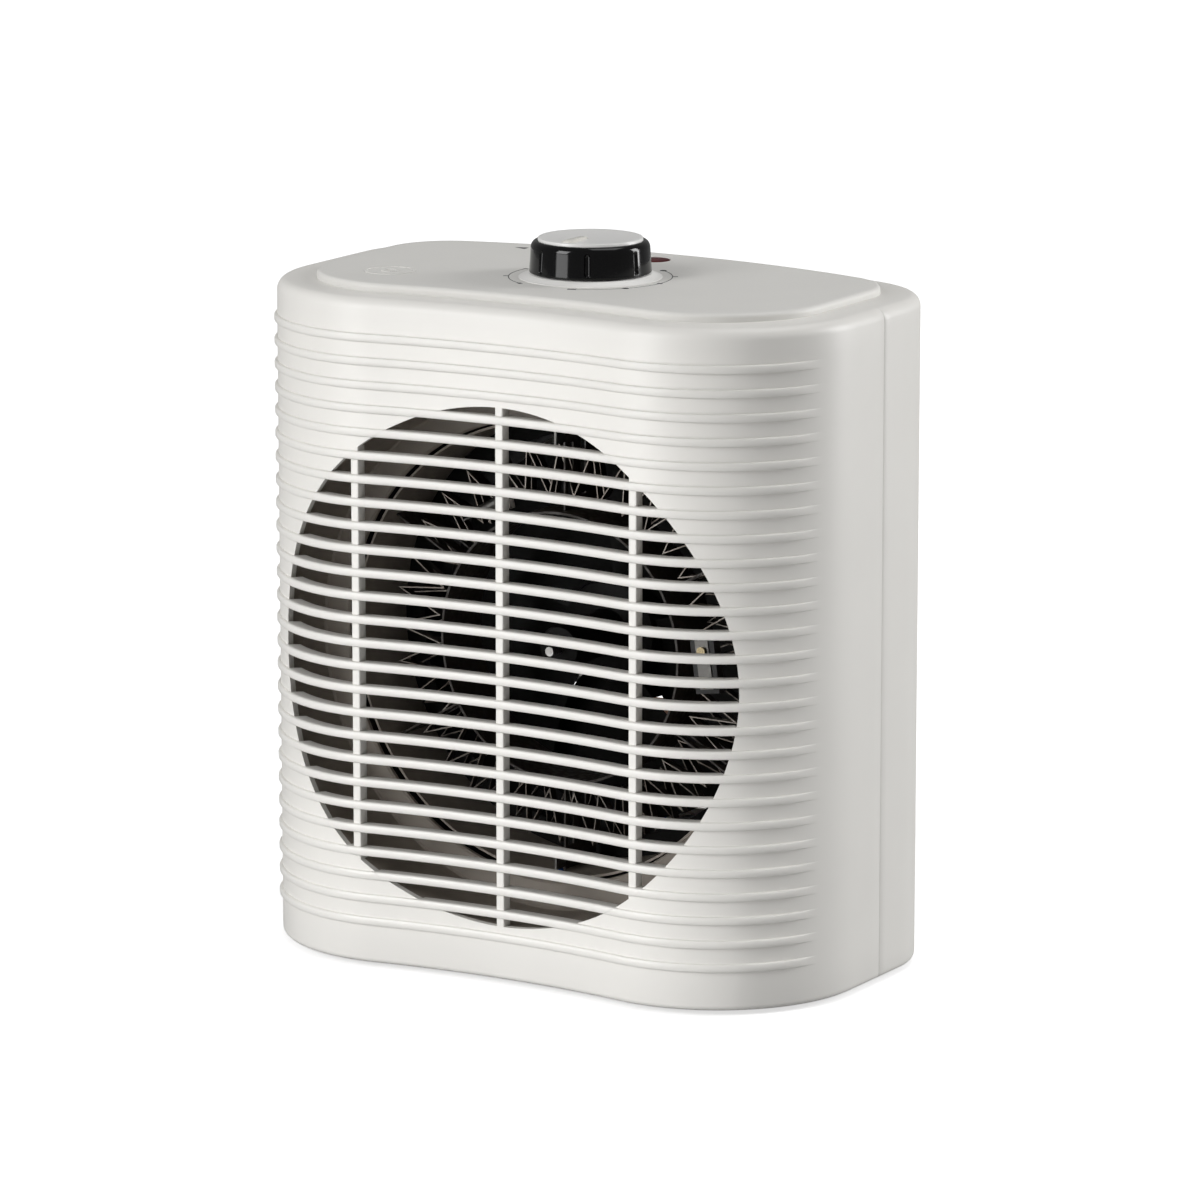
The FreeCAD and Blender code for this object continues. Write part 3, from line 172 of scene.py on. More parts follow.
# An outline of (a, b) corners with each one off the axis rounded: a blend of its two sides, quadratic in t.
def rounded(corners, radius, steps=5):
    corners = np.asarray(corners, float)
    sizes = radius if isinstance(radius, (list, tuple)) else [radius] * len(corners)
    result = []
    for index, corner in enumerate(corners):
        before = corners[index - 1] - corner
        after = corners[(index + 1) % len(corners)] - corner
        reach = min(np.linalg.norm(before), np.linalg.norm(after)) * 0.45
        if corner[0] < 1e-9 or sizes[index] <= 0:
            result.append(corner)
            continue
        before, after = before / np.linalg.norm(before), after / np.linalg.norm(after)
        half = math.acos(np.clip(before @ after, -1, 1)) / 2
        trim = min(sizes[index] / math.tan(half), reach)
        t = np.linspace(0, 1, steps)[:, None]
        first, last = corner + before * trim, corner + after * trim
        result.extend(first * (1 - t) ** 2 + 2 * corner * t * (1 - t) + last * t ** 2)
    return np.array(result)


# The plan of the case: middles, radii and angles of its arcs, in metres from the middle of the front face.
def planSegments():
    cornerX = case["halfWidth"] - case["corner"]
    cornerY = case["corner"] - case["bulge"]
    hollow = (cornerX ** 2 + case["bulge"] ** 2) / (2 * case["bulge"]) - case["corner"]
    frontAngle = math.atan2(cornerY + hollow, cornerX)
    rearX = case["halfWidth"] - case["rearCorner"]
    centreY = case["back"] - case["front"] - case["rearArc"]
    rearY = centreY + math.sqrt((case["rearArc"] - case["rearCorner"]) ** 2 - rearX ** 2)
    rearAngle = math.atan2(rearY - centreY, rearX)
    return cornerX, cornerY, hollow, frontAngle, rearX, rearY, centreY, rearAngle


# Points of an arc, and the unit vectors that point into the case.
def arcPoints(x, y, radius, start, end, count, inside=1.0):
    angle = np.linspace(start, end, count)
    ray = np.stack([np.cos(angle), np.sin(angle)], -1)
    return np.array([x, y]) + radius * ray, -inside * ray


def linePoints(first, last, inward, count):
    t = np.linspace(0, 1, count)[:, None]
    points = np.array(first) * (1 - t) + np.array(last) * t
    return points, np.repeat(np.array([inward], float), count, 0)


# Runs joined end to end, without the doubled points where they meet.
def chain(runs):
    points = np.concatenate([run[0][:-1] for run in runs[:-1]] + [runs[-1][0]])
    normals = np.concatenate([run[1][:-1] for run in runs[:-1]] + [runs[-1][1]])
    return points + np.array([0, case["front"]]), normals


# A straight side, with one more point close to the seam so that the groove there stays narrow.
def sideRun(side, start, end, gap=0.5 * mm):
    x = side * case["halfWidth"]
    turn = start + (end - start) * (gap / abs(end - start))
    return [linePoints((x, start), (x, turn), (-side, 0), 2), linePoints((x, turn), (x, end), (-side, 0), 5)]


def backwards(runs):
    return [(points[::-1], normals[::-1]) for points, normals in runs[::-1]]


# The front half of the plan, from the seam on the left round the front to the seam on the right.
def frontPlan():
    cornerX, cornerY, hollow, frontAngle, _, _, _, _ = planSegments()
    seam = case["seam"] - case["front"]
    left = arcPoints(-cornerX, cornerY, case["corner"], math.pi, 2 * math.pi - frontAngle, 44)
    middle = arcPoints(0, -hollow, hollow, math.pi - frontAngle, frontAngle, 44, -1.0)
    right = arcPoints(cornerX, cornerY, case["corner"], frontAngle - math.pi, 0, 44)
    return chain(sideRun(-1, seam, cornerY) + [left, middle, right] + backwards(sideRun(1, seam, cornerY)))


# The rear half of the plan, from the seam on the right round the back to the seam on the left.
def rearPlan():
    _, _, _, _, rearX, rearY, centreY, rearAngle = planSegments()
    seam = case["seam"] - case["front"]
    right = arcPoints(rearX, rearY, case["rearCorner"], 0, rearAngle, 26)
    middle = arcPoints(0, centreY, case["rearArc"], rearAngle, math.pi - rearAngle, 40)
    left = arcPoints(-rearX, rearY, case["rearCorner"], math.pi - rearAngle, math.pi, 26)
    return chain(sideRun(1, seam, rearY) + [right, middle, left] + backwards(sideRun(-1, seam, rearY)))


# Y of the smooth front face at a distance x from the middle: hollow arc, then the corner arc.
def frontSkin(x):
    cornerX, cornerY, hollow, frontAngle = planSegments()[:4]
    x = np.abs(x)
    middle = -hollow + np.sqrt(np.maximum(hollow ** 2 - x ** 2, 0))
    corner = cornerY - np.sqrt(np.maximum(case["corner"] ** 2 - (x - cornerX) ** 2, 0))
    return np.where(x < hollow * math.cos(frontAngle), middle, corner) + case["front"]


# Y of the back at a distance x from the middle: the wide rear arc.
def rearSkin(x):
    centreY = planSegments()[6]
    return centreY + np.sqrt(case["rearArc"] ** 2 - np.asarray(x, float) ** 2) + case["front"]


ribHeights = np.linspace(ribs["first"], ribs["last"], ribs["count"]) + case["floor"]


# Height of a rib across its width, t from -1 to 1: a flat crown with soft shoulders, the root of 1 - t^6.
def ribShape(t):
    return np.sqrt(np.clip(1 - np.abs(t) ** 6, 0, 1))


ribSteps = (-1.0, -0.985, -0.94, -0.84, -0.6, 0.0, 0.6, 0.84, 0.94, 0.985, 1.0)


# 1 across the front, running out to 0 round each corner where the ribs end.
def ribFade(points):
    cornerX, cornerY = planSegments()[:2]
    x, y = np.abs(points[:, 0]) - cornerX, points[:, 1] - case["front"] - cornerY
    angle = np.degrees(np.arctan2(-y, x))
    t = np.clip((angle - ribs["fadeStart"]) / (ribs["fadeEnd"] - ribs["fadeStart"]), 0, 1)
    return np.where(x <= 0, 1.0, np.where(angle < 0, 0.0, t * t * (3 - 2 * t)))


# Rows up a shell: (inset, outer height, rib, slide, inner height), from the middle of the floor over the
# wall to the middle of the top. Slide runs the flat plates in to the seam line, from 0 to 1.
def wallRows(ribbed):
    low, high = case["floor"], case["top"]
    base, rim, plate = case["base"], case["rim"], case["plate"]
    floor, lid = low + case["wall"], high - case["wall"]
    rows = [(plate, low, 0, slide, floor) for slide in (1.0, 0.66, 0.33, 0.0)]
    rows += [(0.005, low, 0, 0, floor)]
    rows += [(base * (1 - math.sin(a)), low + base * (1 - math.cos(a)), 0, 0, floor)
             for a in np.linspace(0, math.pi / 2, 6)]
    if ribbed:
        steps = (-1.3, -1.04) + ribSteps + (1.04, 1.3)
        rows += [(0, height + step * ribs["half"], ribShape(step), 0, height)
                 for height in ribHeights for step in steps]
    else:
        rows += [(0, height, 0, 0, height) for height in np.linspace(low + base * 3, high - rim * 1.5, 40)]
    rows += [(rim * (1 - math.cos(a)), high - rim * (1 - math.sin(a)), 0, 0, lid)
             for a in np.linspace(0, math.pi / 2, 9)]
    rows += [(inset, high, 0, 0, lid) for inset in (0.006, 0.009, plate)]
    rows += [(plate, high, 0, slide, lid) for slide in (0.33, 0.66, 1.0)]
    return np.array(rows, float)


# A hollow half case. Point (row, column) = plan + inward normal * (inset - rib * fade), slid to the seam
# line on the flat plates. The inner skin is the same surface kept a wall's thickness inside.
def shell(name, plan, ribbed):
    points, normals = plan
    fade = (ribFade(points) * case["ribProud"] if ribbed else np.zeros(len(points)))[None, :]
    inset, height, rib, slide, within = (column[:, None] for column in wallRows(ribbed).T)
    groove = np.zeros(len(points))
    groove[[0, -1]] = case["seamGroove"]
    line = np.linspace(0, 1, len(points))[None, :]
    seamX = (points[0, 0] + (points[-1, 0] - points[0, 0]) * line) * (1 - case["plate"] / case["halfWidth"])
    outer, inner = inset - rib * fade + groove, np.maximum(inset, case["wall"]) + 0 * fade
    skins = []
    for level, depth in ((height, outer), (within, inner)):
        x = (points[:, 0] + normals[:, 0] * depth) * (1 - slide) + seamX * slide
        y = (points[:, 1] + normals[:, 1] * depth) * (1 - slide) + case["seam"] * slide
        skins.append(np.stack([x, y, level + np.zeros_like(x)], -1))
    loop = np.concatenate([skins[0], skins[1][::-1]])
    total, columns = loop.shape[:2]
    ends = [capFaces(np.arange(total) * columns + column) for column in (0, columns - 1)]
    faces = np.concatenate([gridFaces(total, columns, True)] + ends)
    return outward(addMesh(name, loop.reshape(-1, 3), faces))


# A plain round cutter along Y.
def boreAlongY(radius, first, last, x, z, steps=180):
    return turned("cutter", [(0, first), (radius, first), (radius, last), (0, last)], (x, 0, z), "y", steps)


grille = {
    "outlet": 88.3 * mm, "intake": 74.0 * mm, "pitch": 8.0 * mm, "intakeBars": 19, "depth": 4.6 * mm,
    "draft": 0.8, "upright": 3.0 * mm, "spacing": 54.0 * mm, "setback": 0.12 * mm, "columns": 61,
}
rearHoles = {"margin": 3.2 * mm, "well": 3.9 * mm, "depth": 2.2 * mm, "gland": 6.5 * mm}      # screw wells


def frontCase():
    piece = shell("frontCase", frontPlan(), True)
    near, far = case["front"] - 0.03, case["front"] + 0.035
    cut(piece, [boreAlongY(grille["outlet"], near, far, fanAxis[0], fanAxis[2])])
    return outward(piece, 32)


def rearCase():
    piece = shell("rearCase", rearPlan(), False)
    tools = [boreAlongY(grille["intake"], case["back"] - 0.02, case["back"] + 0.02, fanAxis[0], fanAxis[2])]
    low, high = boxOf("case_screws")
    for x in (low[0] + rearHoles["margin"], high[0] - rearHoles["margin"]):
        for z in (low[2] + rearHoles["margin"], high[2] - rearHoles["margin"]):
            tools.append(boreAlongY(rearHoles["well"], high[1] - rearHoles["depth"], case["back"] + 0.01, x, z, 40))
    low, high = boxOf("cord_gland")
    middle = (low[2] + high[2]) / 2
    tools.append(boreAlongY(rearHoles["gland"], case["back"] - 0.02, case["back"] + 0.01, 0.0, middle, 48))
    cut(piece, tools)
    return outward(piece, 32)


# Level bars that follow the plan and end on a circle.
# Point (k, j) = plan(x_j) + normal * inset_k, x_j spread between the circle's ends at the point's own height.
def louvreBars(name, plan, radius, heights, rise, sink, depth):
    points, normals = plan
    order = np.argsort(points[:, 0])
    half, columns = ribs["half"], grille["columns"]
    front = [(sink - rise * float(ribShape(t)), t * half) for t in ribSteps]
    taper = half * grille["draft"]
    edge = sink + 0.3 * mm
    back = rounded([(depth, taper), (depth, -taper), (sink, -half), (sink, half)], [0.4 * mm, 0.4 * mm, 0, 0], 4)
    back = [tuple(corner) for corner in back[:-2]]
    profile = np.array(front + [(edge, half * 0.99)] + back + [(edge, -half * 0.99)])
    inset, lift = profile[:, :1], profile[:, 1:]
    vertices, faces, start = [], [], 0
    for height in heights:
        offset = height + lift - fanAxis[2]
        reach = np.sqrt(np.maximum(radius ** 2 - offset ** 2, 1e-8)) + 0.04 * mm
        x = reach * np.linspace(-1, 1, columns)[None, :]
        y = np.interp(x, points[order, 0], points[order, 1])
        across = np.interp(x, points[order, 0], normals[order, 0])
        inwards = np.interp(x, points[order, 0], normals[order, 1])
        grid = np.stack([x + across * inset, y + inwards * inset, height + lift + np.zeros_like(x)], -1)
        vertices.append(grid.reshape(-1, 3))
        faces.append(gridFaces(len(profile), columns, True, start=start))
        faces += [capFaces(np.arange(len(profile)) * columns + column + start) for column in (0, columns - 1)]
        start += grid.shape[0] * grid.shape[1]
    return outward(addMesh(name, np.concatenate(vertices), np.concatenate(faces)), 40)


# An upright behind the louvres' faces: a soft-edged bar carried up between the ends of the circle.
def uprightBar(name, x, near, far, radius):
    half = grille["upright"] / 2
    profile = rounded([(x + 1 - half, near), (x + 1 + half, near), (x + 1 + half * 0.9, far),
                       (x + 1 - half * 0.9, far)], 0.45 * mm, 5) - np.array([1, 0])
    reach = np.sqrt(radius ** 2 - profile[:, :1] ** 2) + 0.04 * mm
    levels = reach * np.array([-1.0, 1.0])[None, :] + fanAxis[2]
    grid = np.stack([np.repeat(profile[:, :1], 2, 1), np.repeat(profile[:, 1:], 2, 1), levels], -1)
    faces = [gridFaces(len(profile), 2, True)]
    faces += [capFaces(np.arange(len(profile)) * 2 + column) for column in (0, 1)]
    return outward(addMesh(name, grid.reshape(-1, 3), np.concatenate(faces)), 40)


def outletLouvres():
    radius = grille["outlet"]
    inside = ribHeights[np.abs(ribHeights - fanAxis[2]) < radius]
    pieces = [louvreBars("bars", frontPlan(), radius, inside, case["ribProud"], 0.0, grille["depth"])]
    for side in (-1, 0, 1):
        x = side * grille["spacing"]
        skin = float(frontSkin(x))
        pieces.append(uprightBar("upright", x, skin + grille["setback"], skin + grille["depth"], radius))
    return merge(pieces, "outletLouvres")


def intakeLouvres():
    radius, count = grille["intake"], grille["intakeBars"]
    heights = fanAxis[2] + (np.arange(count) - (count - 1) / 2) * grille["pitch"]
    heights = heights[np.abs(heights - fanAxis[2]) < radius]
    pieces = [louvreBars("bars", rearPlan(), radius, heights, 0.6 * mm, 0.6 * mm, case["wall"])]
    for side in (-1, 0, 1):
        x = side * grille["spacing"]
        skin = float(rearSkin(x))
        pieces.append(uprightBar("upright", x, skin - case["wall"] - 0.4 * mm, skin - 0.8 * mm, radius))
    return merge(pieces, "intakeLouvres")


panel = {"inset": 13.5 * mm, "edge": 1.5 * mm, "sunk": 0.3 * mm, "lensHole": 5.75 * mm, "spindleHole": 3.6 * mm}


# Points and inward normals spread evenly along a run of the plan.
def evenly(run, count):
    points, normals = run
    length = np.concatenate([[0], np.cumsum(np.linalg.norm(np.diff(points, axis=0), axis=1))])
    place = np.linspace(0, length[-1], count)
    spread = [np.stack([np.interp(place, length, table[:, axis]) for axis in (0, 1)], -1) for table in run]
    return spread[0], spread[1] / np.linalg.norm(spread[1], axis=1, keepdims=True)


# The plate on top: the closed plan moved in, its upper edge a quarter round.
def topPlate():
    front, rear = evenly(frontPlan(), 150), evenly(rearPlan(), 150)
    points = np.concatenate([front[0][:-1], rear[0][:-1]])
    normals = np.concatenate([front[1][:-1], rear[1][:-1]])
    top, edge, inset = panelHigh[2], panel["edge"], panel["inset"]
    rows = [(inset, case["top"] - panel["sunk"]), (inset, case["top"] + 0.4 * mm)]
    rows += [(inset + edge * (1 - math.cos(a)), top - edge * (1 - math.sin(a)))
             for a in np.linspace(0, math.pi / 2, 7)]
    rows += [(inset + 4 * mm, top), (inset + 10 * mm, top)]
    rows = np.array(rows)
    x = points[:, 0] + normals[:, 0] * rows[:, :1]
    y = points[:, 1] + normals[:, 1] * rows[:, :1]
    grid = np.stack([x, y, rows[:, 1:] + np.zeros_like(x)], -1)
    total, columns = grid.shape[:2]
    faces = [gridFaces(total, columns, False, True), capFaces(np.arange(columns)),
             capFaces(np.arange(columns) + (total - 1) * columns)]
    piece = outward(addMesh("topPlate", grid.reshape(-1, 3), np.concatenate(faces)))
    lens = (lensLow + lensHigh) / 2
    tools, reach = [], 10 * mm
    for radius, x, y in ((panel["lensHole"], lens[0], lens[1]), (panel["spindleHole"], knobAxis[0], knobAxis[1])):
        column = [(0, top - reach), (radius, top - reach), (radius, top + reach), (0, top + reach)]
        tools.append(turned("cutter", column, (x, y, 0), "z", 72))
    return outward(cut(piece, tools), 32)


collar = {"foot": 24.2 * mm, "neck": 20.4 * mm, "bore": 13.0 * mm}


# The flare under the knob: radius falls evenly from foot to neck while the height rises as t^1.5.
def knobFlare():
    low, high = panelHigh[2], boxOf("knob_collar")[1][2]
    span, rise = collar["foot"] - collar["neck"], high - low - 0.12 * mm
    profile = [(collar["bore"], low - 0.2 * mm), (collar["foot"], low - 0.2 * mm)]
    profile += [(collar["foot"] - span * t, low + 0.12 * mm + rise * t ** 1.5)
                for t in (0, *np.linspace(0.08, 1, 14))]
    profile += [(collar["bore"], high)]
    return turned("knobFlare", profile, (knobAxis[0], knobAxis[1], 0), "z", 144, 40)


knob = {
    "foot": 20.65 * mm, "top": 20.0 * mm, "shoulderWide": 2.1 * mm, "shoulderHigh": 2.6 * mm, "lip": 0.6 * mm,
    "slots": 7, "slotHalf": 1.05 * mm, "slotDepth": 0.85 * mm, "slotLow": 1.9 * mm, "slotHigh": 7.7 * mm,
    "slotTurn": -62.0, "discRadius": 17.75 * mm, "bevel": 0.5 * mm, "wall": 2.2 * mm,
}


# The knob's skin: a turned profile, pressed in by slotDepth where the place lies in one of the upright slots.
# A slot is the set of points nearer than slotHalf to an upright line, with a round floor.
def knobSkirt():
    low, high = knobLow[2], knobHigh[2]
    crown = high + knob["lip"]
    slope = (knob["foot"] - knob["top"]) / (high - low)
    shoulder = crown - knob["shoulderHigh"]
    profile = [(knob["foot"] - 0.35 * mm, low), (knob["foot"] - 0.1 * mm, low + 0.1 * mm),
               (knob["foot"], low + 0.35 * mm)]
    profile += [(knob["foot"] - slope * (z - low), z) for z in np.linspace(low + 0.8 * mm, shoulder, 26)]
    side = knob["foot"] - slope * (shoulder - low)
    profile += [(side - knob["shoulderWide"] * (1 - math.cos(a)), shoulder + knob["shoulderHigh"] * math.sin(a))
                for a in np.linspace(0.12, math.pi / 2, 12)]
    rim = side - knob["shoulderWide"]
    profile += [(rim - 0.12 * mm, crown), (rim - 0.14 * mm, high), (4.5 * mm, high), (4.5 * mm, low + 0.4 * mm),
                (3.1 * mm, low + 0.4 * mm), (3.1 * mm, high - knob["wall"]), (7.0 * mm, high - knob["wall"]),
                (rim - knob["wall"], high - knob["wall"]), (rim - knob["wall"], low)]
    profile = np.array(profile)
    slotAngles = math.radians(knob["slotTurn"]) + np.arange(knob["slots"]) * 2 * math.pi / knob["slots"]
    fine = np.linspace(-1.5, 1.5, 19) * knob["slotHalf"] / knob["foot"]
    plain = np.linspace(fine[-1], 2 * math.pi / knob["slots"] + fine[0], 16)[1:-1]
    offsets = np.concatenate([fine, plain])
    angle = (slotAngles[:, None] + offsets[None, :]).ravel()
    along = np.tile(np.where(np.arange(len(offsets)) < len(fine), offsets, 1.0), knob["slots"]) * knob["foot"]
    z = profile[:, 1:] - low
    beyond = np.maximum(np.maximum(knob["slotLow"] - z, z - knob["slotHigh"]), 0)
    near = np.sqrt(along[None, :] ** 2 + beyond ** 2) / knob["slotHalf"]
    press = np.sqrt(np.clip(1 - near ** 2, 0, 1)) * knob["slotDepth"]
    outside = (np.arange(len(profile)) < 42)[:, None]
    radius = profile[:, :1] - press * outside
    points = np.stack([radius * np.cos(angle), radius * np.sin(angle), profile[:, 1:] + np.zeros_like(radius)], -1)
    points = points.reshape(-1, 3) + np.array([knobAxis[0], knobAxis[1], 0])
    return outward(addMesh("knobSkirt", points, gridFaces(len(profile), len(angle), True, True)), 38)


def knobDisc():
    low, high = capLow[2], capHigh[2] - 0.8 * mm
    r, bevel = knob["discRadius"], knob["bevel"]
    profile = [(0, low), (r, low), (r, high - bevel), (r - bevel * 0.3, high - bevel * 0.3), (r - bevel, high),
               (r - 1.6 * mm, high - 0.05 * mm), (r - 2.4 * mm, high - 0.12 * mm), (0, high - 0.12 * mm)]
    return turned("knobDisc", profile, (knobAxis[0], knobAxis[1], 0), "z", 144, 30)


pointer = {"long": 12.5 * mm, "inner": 3.2 * mm, "wide": 2.3 * mm, "narrow": 1.2 * mm}


# The pointer on the disc: point (u, v) goes from the middle out along -Y and v across, and its height is
# the root of (1 - v^4) times the same of u. It narrows from its outer end to its inner one.
def knobPointer():
    u = np.sin(np.linspace(-1, 1, 25) * math.pi / 2)
    v = np.sin(np.linspace(-1, 1, 17) * math.pi / 2)
    across, along = np.meshgrid(v, u)
    width = pointer["narrow"] + (pointer["wide"] - pointer["narrow"]) * (along + 1) / 2
    floor, rise = capHigh[2] - 1.2 * mm, 1.2 * mm
    z = floor + rise * (np.clip(1 - across ** 4, 0, 1) * np.clip(1 - along ** 8, 0, 1)) ** 0.5
    x = knobAxis[0] + across * width
    y = knobAxis[1] - pointer["inner"] - (along + 1) / 2 * pointer["long"]
    top = np.stack([x, y, z], -1)
    under = np.stack([x, y, np.full_like(z, floor)], -1)
    rows, columns = x.shape
    count = rows * columns
    faces = np.concatenate([gridFaces(rows, columns), gridFaces(rows, columns, start=count)[:, ::-1]])
    return outward(addMesh("knobPointer", np.concatenate([top.reshape(-1, 3), under.reshape(-1, 3)]), faces), 50)


def pilotDome():
    centre = (lensLow + lensHigh) / 2
    r, top, hollow = (lensHigh[0] - lensLow[0]) / 2, lensHigh[2], 2.6 * mm
    profile = [(0, top - hollow), (hollow, top - hollow), (hollow, lensLow[2]), (r, lensLow[2]),
               (r, top - 0.55 * mm), (r - 0.15 * mm, top - 0.3 * mm), (r - 0.5 * mm, top - 0.16 * mm),
               (r * 0.6, top - 0.04 * mm), (0, top)]
    return turned("pilotDome", profile, (centre[0], centre[1], 0), "z", 72, 40)


feet = {"radius": 8.0 * mm, "chamfer": 0.5 * mm, "dimple": 4.6 * mm}


def rubberPads():
    low, high = boxOf("rubber_feet")
    r, chamfer, dimple = feet["radius"], feet["chamfer"], feet["dimple"]
    top = case["floor"] + 0.3 * mm
    pads = []
    for x in (low[0] + r, high[0] - r):
        for y in (low[1] + r, high[1] - r):
            profile = [(0, low[2] + 0.6 * mm), (dimple - 0.6 * mm, low[2] + 0.6 * mm), (dimple, low[2]),
                       (r - chamfer, low[2]), (r - chamfer * 0.3, low[2] + chamfer * 0.3), (r, low[2] + chamfer),
                       (r, top), (0, top)]
            pads.append(turned("pad", profile, (x, y, 0), "z", 48, 40))
    return merge(pads, "rubberPads")


duct = {"inner": 88.6 * mm, "outer": 90.6 * mm, "mouth": 79.0 * mm, "ring": 2.0 * mm, "edge": 0.7 * mm}


# The drum behind the outlet: its front edge follows the inside of the front face, y = skin(radius * cos t)
# + wall, and its back turns in to a ring with a round mouth.
def outletDrum():
    back = boxOf("outlet_duct")[1][1]
    angle = np.linspace(0, 2 * math.pi, 220, endpoint=False)
    edge = duct["edge"]
    corners = [(duct["inner"], back - duct["ring"] - edge), (duct["inner"] - edge, back - duct["ring"]),
               (duct["mouth"] + edge, back - duct["ring"]), (duct["mouth"], back - duct["ring"] + edge),
               (duct["mouth"], back), (duct["outer"], back)]
    rows = [np.stack([r * np.cos(angle), np.full_like(angle, y), r * np.sin(angle)], -1) for r, y in corners]
    for r in (duct["outer"], duct["inner"]):
        x = r * np.cos(angle)
        rows.append(np.stack([x, frontSkin(x) + case["wall"] + 0.02 * mm, r * np.sin(angle)], -1))
    grid = np.array(rows) + np.array([fanAxis[0], 0, fanAxis[2]])
    return outward(addMesh("outletDrum", grid.reshape(-1, 3), gridFaces(len(rows), len(angle), True, True)), 40)


fan = {"tip": 67.3 * mm, "root": 16.9 * mm, "blades": 5, "chord": 14.0 * mm, "thick": 1.5 * mm, "hub": 18.0 * mm,
       "boss": 7.5 * mm, "bore": 1.65 * mm, "spread": 39.0, "first": 0.86}     # spread in degrees, first in radians


# One blade: u runs from root to tip and v across the chord. Its angle about the axis is
# first + lean * u + v * spread(u), and it stands along Y by -v * pitch(u), bowed by (1 - v^2).
def fanBlade(first, front, back):
    u, v = np.meshgrid(np.linspace(0, 1, 22), np.linspace(-1, 1, 19), indexing="ij")
    radius = fan["root"] + (fan["tip"] - fan["root"]) * u
    spread = math.radians(fan["spread"]) + math.radians(2) * np.sin(u * math.pi * 0.6)
    angle = first + math.radians(14) * u ** 1.5 + v * spread
    middle, half = (front + back) / 2, (back - front) / 2 - fan["thick"] * 0.6
    y = middle - v * half * (1 - 0.35 * u) + 1.4 * mm * (1 - v ** 2) * (0.4 + 0.6 * u)
    thick = fan["thick"] / 2 * np.clip(1 - v ** 6, 0, 1) ** 0.5 * (1 - 0.3 * u)
    thick = thick * np.clip(1 - (u - 0.02) ** 30, 0, 1) ** 0.5
    skins = [np.stack([radius * np.cos(angle), y + side * thick, radius * np.sin(angle)], -1).reshape(-1, 3)
             for side in (-1, 1)]
    rows, columns = u.shape
    count = rows * columns
    edge = np.concatenate([np.arange(columns), np.arange(1, rows) * columns + columns - 1,
                           (rows - 1) * columns + np.arange(columns - 1)[::-1],
                           np.arange(1, rows - 1)[::-1] * columns])
    after = np.roll(edge, -1)
    faces = [gridFaces(rows, columns), gridFaces(rows, columns, start=count)[:, ::-1],
             np.stack([edge, after, after + count, edge + count], -1)]
    points = np.concatenate(skins) + np.array([fanAxis[0], 0, fanAxis[2]])
    return outward(addMesh("blade", points, np.concatenate(faces)), 60)


def fanWheel():
    low, high = boxOf("fan_rotor")
    face, back = low[1], high[1]
    bladeFront = back - fan["chord"]
    hub, boss, bore = fan["hub"], fan["boss"], fan["bore"]
    profile = [(bore, face), (boss - 0.8 * mm, face), (boss - 0.2 * mm, face + 0.2 * mm), (boss, face + 0.8 * mm),
               (boss, bladeFront - 4.0 * mm), (boss + 0.6 * mm, bladeFront - 2.6 * mm),
               (boss + 2.2 * mm, bladeFront - 2.0 * mm), (hub - 2.6 * mm, bladeFront - 1.6 * mm),
               (hub - 0.7 * mm, bladeFront - 0.9 * mm), (hub, bladeFront + 0.8 * mm), (hub, back),
               (hub - 1.6 * mm, back), (hub - 1.6 * mm, bladeFront + 1.0 * mm), (boss, bladeFront + 0.6 * mm),
               (boss - 1.0 * mm, back), (bore, back)]
    pieces = [turned("hub", profile, (fanAxis[0], 0, fanAxis[2]), "y", 96, 35)]
    pieces += [fanBlade(turn * 2 * math.pi / fan["blades"] + fan["first"], bladeFront, back)
               for turn in range(fan["blades"])]
    return merge(pieces, "fanWheel")


dial = {"radius": 27.6 * mm, "line": 0.32 * mm, "proud": 0.04 * mm,
        "ring": (-64.7 * mm, -28.1 * mm), "ringRadius": 8.3 * mm, "arrow": (-51.5 * mm, 37.0 * mm)}


# A thin closed strip on the panel: point (i, j) = centre + r_i * (cos t_j, sin t_j), a little proud of it.
def printArc(centre, inner, outer, start, end, proud, steps=48):
    low = panelHigh[2] - 0.1 * mm
    angle = np.radians(np.linspace(start, end, steps))
    rows = [(inner, low), (outer, low), (outer, panelHigh[2] + proud), (inner, panelHigh[2] + proud)]
    grid = np.array([np.stack([centre[0] + r * np.cos(angle), centre[1] + r * np.sin(angle),
                               np.full_like(angle, z)], -1) for r, z in rows])
    faces = [gridFaces(4, steps, True)] + [capFaces(np.arange(4) * steps + column) for column in (0, steps - 1)]
    return outward(addMesh("print", grid.reshape(-1, 3), np.concatenate(faces)), 30)


# A spot or an arrowhead: a flat closed prism from a loop of (x, y) points.
def printPatch(loop, proud):
    loop = np.asarray(loop, float)
    count = len(loop)
    levels = (panelHigh[2] - 0.1 * mm, panelHigh[2] + proud)
    grid = np.array([np.column_stack([loop, np.full(count, z)]) for z in levels])
    faces = np.concatenate([gridFaces(2, count, False, True), capFaces(np.arange(count)),
                            capFaces(np.arange(count) + count)])
    return outward(addMesh("print", grid.reshape(-1, 3), faces), 30)


def spot(x, y, radius, steps=24):
    angle = np.linspace(0, 2 * math.pi, steps, endpoint=False)
    return np.stack([x + radius * np.cos(angle), y + radius * np.sin(angle)], -1)


